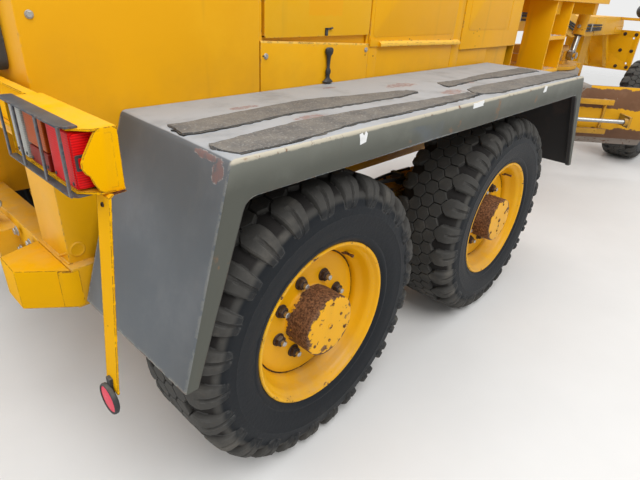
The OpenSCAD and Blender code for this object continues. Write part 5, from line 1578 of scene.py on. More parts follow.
def makeExhaust():
    x, y = exhaustAxis
    bm = bmesh.new()
    lathe(bm, [(0.0385, 0), (0.0398, 0), (0.0398, 0.49), (0.0558, 0.52), (0.056, 0.64), (0.054, 0.65), (0.0398, 0.66),
               (0.0398, 0.756), (0.038, 0.758),
               (0.036, 0.756), (0.036, 0.0), (0.037, 0.0)], alongZ(x, y, 1.5), 36, 0, closed=True)
    for z in (1.98, 2.165):
        lathe(bm, [(0.04, 0), (0.044, 0), (0.0445, 0.004), (0.044, 0.016), (0.04, 0.016)], alongZ(x, y, z), 32, 1,
              closed=True)
        box(bm, (-0.262, 0.243, z + 0.001), (-0.246, 0.257, z + 0.015), 0.002, 2, 1)
    # rain flap with its hinge and counterweight
    flap = alongZ(x, y, 2.262) @ Matrix.Rotation(math.radians(-7), 4, "Y")
    lathe(bm, [(0.041, 0.0), (0.042, 0.0015), (0.041, 0.003), (0.012, 0.005)], flap, 32, 1)
    tube(bm, [at(-0.345, 0.215, 2.259), at(-0.345, 0.285, 2.259)], 0.0045, 10, 1)
    box(bm, (-0.36, 0.238, 2.235), (-0.342, 0.262, 2.262), 0.003, 2, 1)
    faceOut(bm)
    make("exhaustStack", bm, "exhaustHeat nutRust", "rear_body", ["exhaust"])
    bm = bmesh.new()
    lathe(bm, [(0.044, 0), (0.075, 0), (0.077, 0.003), (0.06, 0.008), (0.0445, 0.012)], alongZ(x, y, 1.949), 36, 0,
          closed=True)
    faceOut(bm)
    make("exhaustCollar", bm, "hoodPaint", "rear_body")


def rearDetails():
    bm = bmesh.new()
    # weld plugs and seams on the back plates
    for s in (1, -1):
        plug = [(0, 0.0012), (0.014, 0.0012), (0.016, 0.0016), (0.0185, 0.003), (0.0215, 0.0025), (0.024, -0.001)]
        lathe(bm, plug, alongX(-1.16, s * 0.403, 0.668, -1), 28, 0)
        lathe(bm, plug, alongY(-1.131, s * 0.508, 0.731, s), 28, 0)
        beads = []
        for k in range(25):
            uneven = 0.003 * noise.noise(Vector((k, s, 0)))
            beads.append(at(-1.1615, s * (0.425 + 0.08 * k / 24), 0.684 + 0.044 * k / 24 + uneven))
        tube(bm, beads, 0.0035, 7, 0)
        for z in (0.692, 1.03):
            tube(bm, [at(-1.16, s * (0.42 + 0.088 * k / 30), z + 0.0015 * noise.noise(Vector((k * 0.7, s, z))))
                      for k in range(31)], 0.0045, 7, 0)
    for x in (-1.135, -0.6, 0.4, 1.3):
        for s in (1, -1):
            tube(bm, [at(x + 0.05 * k / 12, s * 0.4215, 1.031 + 0.001 * noise.noise(Vector((k, x, 0))))
                      for k in range(13)], 0.004, 6, 0)
    make("rearWelds", bm, "yellowPaint", "rear_body", (), 60)
    # cut-off corners of the rear beam: a slanted box at each end, with a welded flange
    bm = bmesh.new()
    for s in (1, -1):
        outline = [(-1.1712, 0.538), (-1.289, 0.443), (-1.289, 0.33), (-1.1712, 0.29)]
        tray(bm, outline, 0.562, 0.688, 0, 0.004, s)
        outline = [(-1.15, 0.5405), (-1.174, 0.5405), (-1.201, 0.519), (-1.197, 0.513), (-1.15, 0.53)]
        tray(bm, outline, 0.566, 0.684, 0, 0.002, s)
    make("beamCorners", bm, "barPaint", "rear_body", (), 40)
    # the hitch's pin and its ring
    bm = bmesh.new()
    lathe(bm, [(0, -0.15), (0.0145, -0.15), (0.015, -0.147), (0.015, 0.075), (0.024, 0.077), (0.025, 0.084),
               (0.022, 0.09), (0, 0.091)], alongZ(-1.215, 0, 0.61), 24, 0)
    loop = [at(-1.215 + 0.035 * math.sin(a), 0.0, 0.7 + 0.022 - 0.022 * math.cos(a))
            for a in [tau * k / 20 for k in range(21)]]
    tube(bm, loop, 0.004, 8, 0)
    make("hitchPin", bm, "zincBolt", "rear_body")
    places = [at(-1.1805, s * y, 0.59 + dz) for s in (1, -1) for y in (0.12, 0.24) for dz in (0.0, 0.07)]
    bolts("beamBolts", places, "-X", "rear_body", (0.022, 0.011, 0.017))
    for label, s, face in (("Left", 1, "+Y"), ("Right", -1, "-Y")):
        places = [at(x, s * 0.4205, z) for x in (-0.95, -0.72, -0.3, 0.3, 0.75, 1.1) for z in (0.7, 0.96)]
        bolts("railBolts" + label, places, face, "rear_body", (0.02, 0.01, 0.015))
    # hoses and a wiring loom along the rails, under the deck
    bm = bmesh.new()
    for s in (1, -1):
        for n, (z, r) in enumerate(((0.985, 0.011), (0.958, 0.009), (0.935, 0.009))):
            line = [at(x, s * (0.432 + 0.004 * math.sin(x * 9 + n)), z + 0.006 * math.sin(x * 5 + n * 2))
                    for x in [-1.05 + 2.35 * k / 60 for k in range(61)]]
            tube(bm, line, r, 8, 0)
        for x in (-0.9, -0.45, 0.05, 0.48, 0.95, 1.22):
            box(bm, (x, s * 0.4195, 0.92), (x + 0.022, s * 0.447, 1.0), 0.003, 2, 1)
    make("railHoses", bm, "blackRubber zincBolt", "rear_body")
    # axle: a bolted cover on the middle housing, flanges and breather
    bm = bmesh.new()
    lathe(bm, [(0.115, 0.148), (0.16, 0.15), (0.164, 0.155), (0.164, 0.166), (0.13, 0.178), (0.11, 0.196),
               (0.06, 0.206), (0, 0.209)],
          alongX(0, 0, layout["axleZ"], -1), 40, 0)
    for s in (1, -1):
        for y in (0.205, 0.44):
            lathe(bm, [(0.094, 0), (0.124, 0), (0.126, 0.003), (0.126, 0.016), (0.124, 0.019), (0.094, 0.019)],
                  alongY(0, s * y, layout["axleZ"], s), 36, 0, closed=True)
    lathe(bm, [(0.075, 0), (0.078, 0.004), (0.078, 0.03), (0.05, 0.036), (0.05, 0.06)], alongX(0.165, 0, 0.52), 32, 0)
    faceOut(bm)
    make("axleCovers", bm, "workPaint", "rear_body")
    places = [at(-0.166, 0.148 * math.cos(a), layout["axleZ"] + 0.148 * math.sin(a))
              for a in [tau * k / 12 for k in range(12)]]
    bolts("axleCoverBolts", places, "-X", "rear_body", (0.015, 0.008, 0.011))


def tandemDetails():
    for side, s in sides.items():
        bm = bmesh.new()
        # top cover with its gasket line, inspection plug and ribs on the case
        tray(bm, oblong(-0.56, 0.56, 0.535, 0.677, 0.02), 0.619, 0.6262, 0, 0.0015, s)
        tray(bm, oblong(-0.13, 0.13, 0.548, 0.664, 0.015), 0.626, 0.634, 0, 0.0015, s)
        lathe(bm, [(0.02, 0), (0.02, 0.01), (0.012, 0.012), (0.012, 0.022)], alongZ(0.3, s * 0.606, 0.626), 20, 0)
        for x in (-0.36, 0.36):
            flank(bm, oblong(x - 0.1, x + 0.1, 0.405, 0.565, 0.02), 0.513, 0.5205, s, 0, 0.0015)
            flank(bm, oblong(x - 0.09, x + 0.09, 0.415, 0.555, 0.02), 0.6895, 0.696, s, 0, 0.0015)
        for x in (-layout["tandemX"], layout["tandemX"]):
            lathe(bm, [(0.044, 0), (0.092, 0), (0.097, 0.004), (0.097, 0.014), (0.088, 0.02), (0.044, 0.022)],
                  alongY(x, s * 0.7355, layout["axleZ"], s), 36, 0, closed=True)
            lathe(bm, [(0, 0.0), (0.07, 0.0), (0.075, 0.004), (0.075, 0.012), (0.055, 0.018), (0, 0.02)],
                  alongY(x, s * 0.5205, layout["axleZ"], -s), 32, 0)
        faceOut(bm)
        make(f"tandemCovers_{side}", bm, "workPaint", f"tandem_{side}_body")
        places = [at(x, s * y, 0.6262) for x in [-0.53 + 0.106 * k for k in range(11)] for y in (0.546, 0.666)]
        bolts(f"tandemTopBolts_{side}", places, "+Z", f"tandem_{side}_body", (0.015, 0.008, 0.011), "nutRust")
        places = [at(x + 0.056 * math.cos(a), s * 0.51, layout["axleZ"] + 0.056 * math.sin(a))
                  for x in (-layout["tandemX"], layout["tandemX"]) for a in [tau * k / 6 for k in range(6)]]
        bolts(f"tandemCapBolts_{side}", places, "-Y" if s > 0 else "+Y", f"tandem_{side}_body", (0.013, 0.007, 0.01))
        # brake line and dusty bracket over the case, between the wheels
        bm = bmesh.new()
        line = [at(x, s * (0.64 + 0.012 * math.sin(6 * x)), 0.665 + 0.016 * math.sin(9 * x + 1))
                for x in [-0.5 + k / 40 for k in range(41)]]
        tube(bm, line, 0.01, 10, 0)
        tube(bm, [at(x, s * (0.6 + 0.01 * math.sin(5 * x + 2)), 0.66 + 0.01 * math.sin(7 * x))
                  for x in [-0.46 + 0.92 * k / 40 for k in range(41)]], 0.007, 8, 0)
        for x in (-0.34, -0.02, 0.3):
            box(bm, (x, s * 0.59, 0.626), (x + 0.025, s * 0.655, 0.68), 0.003, 2, 1)
        make(f"tandemLines_{side}", bm, "blackRubber darkPaint", f"tandem_{side}_body")


makeEngine()
makeExhaust()
rearDetails()
tandemDetails()
print("stage: engine, exhaust and running gear")


# The machine's plain solids, with their edges eased as cast, folded and ground steel has them
easedNodes = {  # finish, slot, width of the eased edge
    "rear_frame": ("yellowPaint", "yellow_paint", 0.003), "fender_brackets": ("yellowPaint", "yellow_paint", 0.002),
    "rear_axle": ("workPaint", "yellow_paint", 0.006), "tandem": ("workPaint", "yellow_paint", 0.007),
    "gooseneck": ("yellowPaint", "yellow_paint", 0.005), "cab_shell": ("yellowPaint", "yellow_paint", 0.009),
    "cab_door": ("yellowPaint", "yellow_paint", 0.004), "cab_steps": ("yellowPaint", "yellow_paint", 0.003),
    "lift_barrel": ("workPaint", "yellow_paint", 0.003), "lift_rod": ("chromeRod", "rod_chrome", 0.002),
    "drawbar": ("workPaint", "yellow_paint", 0.004), "blade_circle": ("wornSteel", "worn_steel", 0.003),
    "shift_barrel": ("workPaint", "yellow_paint", 0.003),
    "moldboard": ("bladeSteel workPaint chromeRod bladePaint", "worn_steel", 0.002),
    "cutting_edge": ("wornSteel", "worn_steel", 0.002), "front_axle": ("workPaint", "yellow_paint", 0.005),
    "knuckle": ("workPaint", "yellow_paint", 0.005), "steering_rod": ("workPaint", "yellow_paint", 0.002)}
circleTurn = alongZ(2.95, 0, 0) @ Matrix.Rotation(math.radians(40.0), 4, "Z")
bladeBack = {"rodX": -0.372, "rodZ": 0.568, "rodReach": 0.022, "rodEnd": 0.08, "railX": -0.232, "ribReach": 0.8}


def eased(name, finishName, slotName, width):
    bm = bmesh.new()
    bm.from_mesh(nodes[name].data)
    bmesh.ops.remove_doubles(bm, verts=bm.verts[:], dist=0.00002)
    bmesh.ops.dissolve_limit(bm, angle_limit=math.radians(0.6), verts=bm.verts[:], edges=bm.edges[:])
    piece = newObject(name + "Eased", bm)
    soften = piece.modifiers.new("easedEdges", "BEVEL")
    soften.width, soften.segments, soften.limit_method, soften.angle_limit = width, 2, "ANGLE", math.radians(35)
    soften.use_clamp_overlap = True
    piece = applied(piece)
    piece.data.materials.clear()
    if name == "moldboard":
        # painted rails and ribs behind the bare skin, and the shift cylinder's bright rod
        for face in piece.data.polygons:
            x, y, z = circleTurn.inverted() @ face.center
            fromRod = math.hypot(x - bladeBack["rodX"], z - bladeBack["rodZ"])
            onRod = fromRod < bladeBack["rodReach"] and y < bladeBack["rodEnd"]
            onRib = abs(face.normal.dot(circleTurn.col[1].xyz)) > 0.9 and abs(y) < bladeBack["ribReach"]
            onFrame = x < bladeBack["railX"] or onRib
            onBack = face.normal.dot(circleTurn.col[0].xyz) < -0.3
            face.material_index = 2 if onRod else 1 if onFrame else 3 if onBack else 0
    settle(piece, finishName, nodes[name]["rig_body"], [name], 32, slot=slotName)


for nodeName in sorted(nodes):
    stem = max((key for key in easedNodes if nodeName.startswith(key)), key=len, default=None)
    if stem:
        eased(nodeName, *easedNodes[stem])
print("stage: eased solids")


# Cab: seals, glass frames, roof trim, handles, mirrors, lamps and what is inside
cab = {"rear": 1.78, "front": 2.95, "top": 2.9, "sill": 2.01, "head": 2.69, "seatX": 2.16}


def seal(bm, outline, low, high, toPlace, width=0.014):
    # a rubber frame lying round a window's edge
    middle = (sum(p[0] for p in outline) / len(outline), sum(p[1] for p in outline) / len(outline))
    inner = [(u + width * (1 if u < middle[0] else -1), v + width * (1 if v < middle[1] else -1)) for u, v in outline]
    windowed(bm, outline, inner, toPlace, low, high)


def cabOutside():
    c = cab
    bm = bmesh.new()
    for x, out in ((c["rear"], -1), (c["front"], 1)):
        seal(bm, oblong(-0.545, 0.545, c["sill"], c["head"], 0.03), min(x - out * 0.02, x + out * 0.003),
             max(x - out * 0.02, x + out * 0.003), fromBehind)
    for s in (1, -1):
        seal(bm, oblong(2.555, 2.875, c["sill"], c["head"], 0.03), 0.597, 0.6225, onSide(s))
    # wiper arms and blades, front and rear
    for x, out in ((c["front"] + 0.01, 1), (c["rear"] - 0.01, -1)):
        for y in (-0.22, 0.26):
            lathe(bm, [(0, 0), (0.02, 0), (0.018, 0.01), (0, 0.012)],
                  alongX(x - out * 0.01, y, c["sill"] - 0.045) @ Matrix.Rotation(0 if out > 0 else math.pi, 4, "X"),
                  16, 0)
            tube(bm, [at(x, y, c["sill"] - 0.045), at(x + out * 0.004, y + 0.05, c["sill"] + 0.1),
                      at(x + out * 0.002, y + 0.16, c["sill"] + 0.3)], 0.0045, 8, 0)
            tube(bm, [at(x, y + 0.1, c["sill"] + 0.07), at(x, y + 0.22, c["sill"] + 0.54)], 0.0065, 8, 0)
    make("cabSeals", bm, "blackRubber", "front_body")
    # roof: drip rail, a raised panel and the corner bolts; grab rails on the posts
    bm = bmesh.new()
    tray(bm, oblong(1.8, 2.97, -0.56, 0.56, 0.06), 2.8985, 2.8998, 0, 0.0006)
    rail = roundedPath([Vector((1.735, -0.635, 0)), Vector((3.025, -0.635, 0)), Vector((3.025, 0.635, 0)),
                        Vector((1.735, 0.635, 0)), Vector((1.735, -0.6, 0))], 0.03, 4)
    tube(bm, [at(p.x, p.y, 2.8125) for p in rail], 0.007, 8, 0)
    make("roofTrim", bm, "yellowPaint", "front_body")
    bm = bmesh.new()
    for s in (1, -1):
        path = roundedPath([at(2.515, s * 0.619, 1.72), at(2.515, s * 0.64, 1.72), at(2.515, s * 0.64, 2.42),
                            at(2.515, s * 0.619, 2.42)], 0.015, 4)
        tube(bm, path, 0.0085, 10, 0)
        for z in (1.72, 2.42):
            lathe(bm, [(0.02, 0), (0.019, 0.004)], alongY(2.515, s * 0.6195, z, s), 16, 0)
    make("grabRails", bm, "darkPaint", "front_body")
    places = [at(x, y, 2.8105) for x in (1.75, 2.38, 3.01) for y in (-0.6, 0.6)]
    bolts("roofBolts", places, "-Z", "front_body", (0.014, 0.007, 0.01))


def cabLamps():
    bm = bmesh.new()
    for s in (1, -1):
        # mirror arms, hoods and glass
        arm = [at(2.945, s * 0.615, 2.487), at(2.945, s * 0.785, 2.487), at(2.94, s * 0.8, 2.45)]
        tube(bm, roundedPath(arm, 0.02, 4), 0.009, 10, 0)
        box(bm, (2.9275, s * 0.762, 2.222), (2.9525, s * 0.918, 2.498), 0.011, 3, 0)
        box(bm, (2.9252, s * 0.772, 2.236), (2.9285, s * 0.908, 2.484), 0.001, 1, 1)
        # work lamps under the roof's front edge
        box(bm, (3.0405, s * 0.442, 2.817), (3.088, s * 0.558, 2.893), 0.009, 3, 0)
        box(bm, (3.086, s * 0.451, 2.825), (3.0985, s * 0.549, 2.885), 0.004, 2, 2)
        # headlamps: bowl, bezel and lens, on a bracket
        turn = alongX(5.222, s * 0.37, 1.413)
        lathe(bm, [(0.03, 0.0), (0.052, 0.012), (0.07, 0.04), (0.0745, 0.062), (0.0745, 0.078), (0.07, 0.084),
                   (0.066, 0.08)], turn, 40, 0)
        lathe(bm, [(0.0665, 0.079), (0.06, 0.084), (0.04, 0.0868), (0.02, 0.0876), (0, 0.0878)], turn, 40, 2)
        box(bm, (5.2402, s * 0.177, 1.3085), (5.2798, s * 0.439, 1.3375), 0.004, 2, 3)
        tube(bm, [at(5.26, s * 0.37, 1.3375), at(5.26, s * 0.37, 1.352)], 0.018, 14, 3)
    # beacon: base, ribbed amber dome
    ribs = [(0.052 + 0.0016 * (k % 2), 0.034 + 0.0065 * k) for k in range(15)]
    turn = alongZ(1.93, 0, cab["top"])
    lathe(bm, [(0.059, 0), (0.0595, 0.004), (0.0595, 0.026), (0.056, 0.032)], turn, 40, 0)
    lathe(bm, [(0.05, 0.031)] + ribs + [(0.048, 0.136), (0.036, 0.146), (0.015, 0.1495), (0, 0.15)], turn, 40, 4)
    faceOut(bm)
    make("lampsAndMirrors", bm, "darkPlastic mirrorGlass headGlass workPaint lensAmber", "front_body",
         ["lights_and_mirrors"], 32)


def doorFittings():
    for side, s in sides.items():
        body = f"cab_door_{side}_body"
        bm = bmesh.new()
        for z0, z1 in ((1.89, 2.635), (1.56, 1.82)):
            seal(bm, oblong(1.905, 2.412, z0, z1, 0.04), 0.597, 0.6225, onSide(s), 0.015)
        box(bm, (2.4125, s * 0.6205, 1.952), (2.4415, s * 0.63, 2.068), 0.004)
        tube(bm, roundedPath([at(2.427, s * 0.628, 1.965), at(2.427, s * 0.6455, 1.972), at(2.427, s * 0.6455, 2.048),
                              at(2.427, s * 0.628, 2.055)], 0.008, 4), 0.0045, 8, 0)
        lathe(bm, [(0.009, 0), (0.009, 0.004), (0.006, 0.005)], alongY(2.452, s * 0.6195, 1.965, s), 16, 1)
        make(f"doorSeals_{side}", bm, "blackRubber zincBolt", body)
        places = [at(1.862 + dx, s * 0.64, z + dz) for z in (1.64, 2.49) for dx in (0.0, 0.018)
                  for dz in (0.018, 0.072)]
        bolts(f"doorHingeBolts_{side}", places, "+Y" if s > 0 else "-Y", body, (0.01, 0.0045, 0.0065))


def inside():
    bm = bmesh.new()
    # ribbed floor mat
    tray(bm, oblong(1.84, 2.895, -0.565, 0.565, 0.03), 1.4902, 1.496, 0, 0.002)
    for k in range(34):
        y = -0.545 + 0.033 * k
        box(bm, (1.86, y, 1.4955), (2.68, y + 0.012, 1.499), 0.001, 1, 0)
    tray(bm, oblong(1.84, 2.89, -0.56, 0.56, 0.05), 2.759, 2.7695, 1, 0.004)
    for z in (1.6, 1.66):
        box(bm, (2.676, 0.1, z - 0.075), (2.6895, 0.2, z - 0.06), 0.002, 1, 0)
    for y in (-0.16, 0.16):
        box(bm, (2.655, y - 0.045, 1.545), (2.69, y + 0.045, 1.64), 0.006, 2, 0)
    make("floorAndLining", bm, "floorMat headLining", "front_body")
    # console with a dial panel, steering wheel, levers and knobs
    bm = bmesh.new()
    profile = [(2.692, 1.492), (2.902, 1.492), (2.902, 2.208), (2.8, 2.208), (2.735, 2.15), (2.692, 2.06)]
    prism(bm, profile, -0.259, 0.259, fromRight, 0, 0.008)
    tilt = alongZ(2.7665, 0, 2.1795) @ Matrix.Rotation(math.radians(-48.3), 4, "Y")
    for k, y in enumerate((-0.18, -0.06, 0.06, 0.18)):
        r = 0.04 if k in (1, 2) else 0.03
        spot = tilt @ Matrix.Translation((0, y, 0))
        lathe(bm, [(0, 0.001), (r * 0.86, 0.001), (r * 0.88, 0.005), (r, 0.004), (r * 1.02, -0.002)], spot, 28, 0)
        lathe(bm, [(0, 0.0018), (r * 0.85, 0.0018)], spot, 24, 1)
        needle = spot @ Matrix.Rotation(0.6 + k, 4, "Z")
        tube(bm, [needle @ Vector((0, 0, 0.0026)), needle @ Vector((r * 0.62, 0, 0.0026))], 0.0012, 6, 2)
    tube(bm, [at(2.71, 0, 2.15), at(2.59, 0, 2.338)], 0.024, 18, 0)
    hub = alongZ(2.584, 0, 2.35) @ Matrix.Rotation(math.radians(-33), 4, "Y")
    lathe(bm, [(0.1775 + 0.0125 * math.cos(tau * k / 12), 0.013 + 0.0125 * math.sin(tau * k / 12)) for k in range(12)],
          hub, 64, 0, closed=True)
    for a in (math.pi / 2, math.pi * 7 / 6, math.pi * 11 / 6):
        tube(bm, [hub @ Vector((0.02 * math.cos(a), 0.02 * math.sin(a), 0.01)),
                  hub @ Vector((0.172 * math.cos(a), 0.172 * math.sin(a), 0.013))], 0.008, 10, 0)
    lathe(bm, [(0, 0.0), (0.04, 0.0), (0.042, 0.008), (0.034, 0.018), (0, 0.021)], hub, 28, 0)
    for s in (1, -1):
        box(bm, (2.6015, s * 0.272, 1.492), (2.6685, s * 0.468, 2.1915), 0.01, 3, 0)
        for k in range(4):
            x, y = 2.62 + 0.008 * k, s * (0.3 + 0.042 * k)
            lathe(bm, [(0.0145, 0.0), (0.012, 0.01), (0.0075, 0.026), (0.005, 0.028), (0.005, 0.15)],
                  alongZ(x, y, 2.19), 14, 0)
            lathe(bm, [(0, 0), (0.006, 0), (0.0105, 0.01), (0.011, 0.032), (0.008, 0.044), (0, 0.0475)],
                  alongZ(x, y, 2.3405), 16, 3 if k == 0 else 0)
    faceOut(bm)
    make("console", bm, "darkPlastic stickerWhite lensRed lensAmber", "front_body", ["controls"], 32)


# Seat: two padded pieces on a sprung base
seatShape = {"voxel": 0.016, "pressure": 4.0, "cap": 0.012, "frames": 14,
             # low corner, high corner, with X from the seat's middle, and lean of the top
             "cushion": ((-0.228, -0.226, 1.795), (0.248, 0.226, 1.905), 0.0),
             "back": ((-0.232, -0.216, 1.935), (-0.132, 0.216, 2.482), -0.078)}


def pad(name, low, high, lean, replaced):
    x = cab["seatX"]
    bm = bmesh.new()
    box(bm, (x + low[0], low[1], low[2]), (x + high[0], high[1], high[2]), 0.03, 4)
    for v in bm.verts:
        v.co.x += lean * (v.co.z - low[2]) / (high[2] - low[2])
    piece = newObject(name, bm)
    voxel = piece.modifiers.new("remesh", "REMESH")
    voxel.mode, voxel.voxel_size = "VOXEL", seatShape["voxel"]
    piece = applied(piece)
    mesh = piece.data
    start = [v.co.copy() for v in mesh.vertices]
    cloth = piece.modifiers.new("stuffing", "CLOTH")
    cloth.settings.use_pressure, cloth.settings.uniform_pressure_force = True, seatShape["pressure"]
    cloth.settings.effector_weights.gravity = 0.0
    cloth.point_cache.frame_start, cloth.point_cache.frame_end = 1, seatShape["frames"]
    for frameNumber in range(1, seatShape["frames"] + 1):
        scene.frame_set(frameNumber)
    swollen = piece.evaluated_get(bpy.context.evaluated_depsgraph_get()).data
    spots = [v.co.copy() for v in swollen.vertices]
    piece.modifiers.clear()
    scene.frame_set(1)
    for v, a, b in zip(mesh.vertices, start, spots):
        move = b - a
        v.co = a + move * min(1.0, seatShape["cap"] / max(move.length, 1e-9))
    # sewn channels across the pad, pressed in after the swelling
    across, face = (2, 0) if name == "seatBack" else (0, 2)
    for v in mesh.vertices:
        share = (v.co[across] - at(x, 0, 0)[across] - low[across]) / (high[across] - low[across])
        groove = sum(math.exp(-((share - line) / 0.022) ** 2) for line in (0.25, 0.5, 0.75))
        v.co[face] -= 0.006 * groove * (1 if abs(v.co.y) < 0.17 else 0.3)
    smoothing = piece.modifiers.new("subdivision", "SUBSURF")
    smoothing.levels = smoothing.render_levels = 1
    piece = settle(applied(piece), "seatVinyl", "front_body", replaced, 180)


def seat():
    x = cab["seatX"]
    pad("seatCushion", *seatShape["cushion"], ["seat"])
    pad("seatBack", *seatShape["back"], [])
    bm = bmesh.new()
    box(bm, (x - 0.165, -0.185, 1.4965), (x + 0.165, 0.185, 1.56), 0.008, 2, 0)
    for k in range(7):
        z, inset = 1.562 + 0.028 * k, 0.012 * (k % 2)
        outline = oblong(x - 0.15 + inset, x + 0.15 - inset, -0.17 + inset, 0.17 - inset, 0.03)
        tray(bm, outline, z, z + 0.027, 1, 0.006)
    box(bm, (x - 0.225, -0.225, 1.76), (x + 0.235, 0.225, 1.792), 0.006, 2, 0)
    for y in (-0.19, 0.17):
        tube(bm, roundedPath([at(x - 0.15, y + 0.01, 1.775), at(x - 0.225, y + 0.01, 1.8),
                              at(x - 0.232, y + 0.01, 2.05)], 0.03, 5), 0.012, 10, 0)
    make("seatBase", bm, "darkPaint blackRubber", "front_body", (), 32, slot="dark_plastic")


cabOutside()
cabLamps()
doorFittings()
inside()
seat()
print("stage: cab")


# Blade, circle, lift cylinders, front axle and beam: teeth, bolts, glands, hoses, pins
circleLook = {"teeth": 72, "inner": 0.4205, "low": 0.868, "high": 0.942}
edgeLook = {"bolts": 16, "reach": 1.14, "foot": -0.1206, "slope": -0.4718, "low": 0.318}
liftLook = {"x": 3.13248, "z": 1.6041, "lean": 13.684, "y": 0.43}


def bladeDetails():
    c, e = circleLook, edgeLook
    bm = bmesh.new()
    tooth = [(c["inner"] + 0.001, -0.0125), (c["inner"] + 0.001, 0.0125), (c["inner"] - 0.006, 0.0095),
             (c["inner"] - 0.015, 0.0045), (c["inner"] - 0.015, -0.0045), (c["inner"] - 0.006, -0.0095)]
    prism(bm, tooth, c["low"], c["high"], lambda u, v, w: Vector((u, v, w)), 0, 0.0012)
    repeated(newObject("circleTeeth", bm), "ring", "wornSteel", "circle_body", circleTurn, Count=c["teeth"])
    for label, height in (("Low", 0.035), ("High", 0.088)):
        face = math.pi / 2 - math.atan(-e["slope"])
        across = [-e["reach"] + 2 * e["reach"] * k / (e["bolts"] - 1) for k in range(e["bolts"])]
        places = [circleTurn @ Vector((e["foot"] + e["slope"] * height, y, e["low"] + height)) for y in across]
        places = places if label == "High" else places[::3]
        bolts(f"edgeBolts{label}", places, tuple((circleTurn.to_3x3() @ Matrix.Rotation(face, 3, "Y")).to_euler()),
              "blade_body", (0.02, 0.008, 0.016), "nutRust")
    # bolts of the pads that the blade's rails slide in, then the shift cylinder's cap and hoses
    bm = bmesh.new()
    for y in (-0.45, 0.45):
        for z in (0.453, 0.703):
            for dy in (-0.016, 0.016):
                hexBolt(bm, circleTurn @ Matrix.Translation((-0.2115, y + dy, z + 0.04))
                        @ Matrix.Rotation(math.pi / 2, 4, "Y"), 0.016, 0.009, 0.012, 0)
    make("slidePadBolts", bm, "zincBolt", "circle_body")
    bm = bmesh.new()
    rodX, rodZ = bladeBack["rodX"], bladeBack["rodZ"]
    tube(bm, [circleTurn @ Vector((rodX, y, rodZ)) for y in (-0.472, -0.455, -0.44)], 0.0385, 24, 0)
    for y in (-0.4, 0.36):
        lathe(bm, [(0.013, 0), (0.013, 0.014), (0.01, 0.018), (0.01, 0.03)],
              circleTurn @ Matrix.Translation((rodX, y, rodZ + 0.03)), 12, 1)
        hose = [Vector((rodX, y, 0.625)), Vector((rodX, y * 0.98, 0.68)), Vector((-0.365, y * 0.8, 0.742)),
                Vector((-0.352, y * 0.4, 0.79)), Vector((-0.34, 0.02 * y, 0.818))]
        tube(bm, [circleTurn @ p for p in roundedPath(hose, 0.03, 4)], 0.0095, 10, 2)
    make("shiftFittings", bm, "workPaint zincBolt blackRubber", "circle_body", slot="dark_plastic")


def liftDetails():
    for side, s in sides.items():
        lean = Matrix.Rotation(math.radians(liftLook["lean"]), 4, "Y")
        turn = alongZ(liftLook["x"], s * liftLook["y"], liftLook["z"]) @ lean
        bm = bmesh.new()
        lathe(bm, [(0.0235, -0.404), (0.047, -0.404), (0.0485, -0.4), (0.0485, -0.372), (0.046, -0.368),
                   (0.0235, -0.368)], turn, 28, 0, closed=True)
        lathe(bm, [(0.0225, -0.409), (0.03, -0.409), (0.031, -0.404), (0.0225, -0.404)], turn, 24, 1, closed=True)
        for z in (-0.345, -0.075):
            lathe(bm, [(0.014, 0.04), (0.014, 0.056), (0.01, 0.058), (0.01, 0.07)],
                  turn @ Matrix.Translation((0, 0, z)) @ Matrix.Rotation(-math.pi / 2, 4, "Y"), 12, 2)
        pipe = [Vector((-0.068, 0, -0.345)), Vector((-0.074, 0, -0.345)), Vector((-0.074, 0, -0.1)),
                Vector((-0.068, 0, -0.075))]
        tube(bm, [turn @ p for p in roundedPath(pipe, 0.006, 4)], 0.006, 8, 0)
        faceOut(bm)
        make(f"liftGland_{side}", bm, "workPaint blackRubber zincBolt", f"lift_barrel_{side}_body")
        bm = bmesh.new()
        lathe(bm, [(0.024, 0), (0.024, 0.004), (0.012, 0.005), (0.012, 0.008)], alongY(3.0, s * 0.4702, 1.06, s), 20, 0)
        tube(bm, [at(3.0, s * 0.468, 1.034), at(3.0, s * 0.468, 1.086)], 0.0025, 6, 0)
        make(f"rodPin_{side}", bm, "zincBolt", "drawbar_body")
        bm = bmesh.new()
        lathe(bm, [(0.038, 0), (0.04, 0.003), (0.04, 0.009), (0.02, 0.01)],
              alongY(liftLook["x"], s * 0.4702, liftLook["z"], s), 28, 0)
        for a in range(3):
            hexBolt(bm, alongY(liftLook["x"] + 0.026 * math.cos(a * tau / 3), s * 0.4795,
                               liftLook["z"] + 0.026 * math.sin(a * tau / 3), s), 0.01, 0.006, 0.007, 1)
        make(f"saddleCap_{side}", bm, "workPaint zincBolt", "front_body")


def beamDrop(x):
    # how far the beam has come down, ahead of the circle
    return 0.1 * min(1, max(0, (x - 3.2) / 0.5))


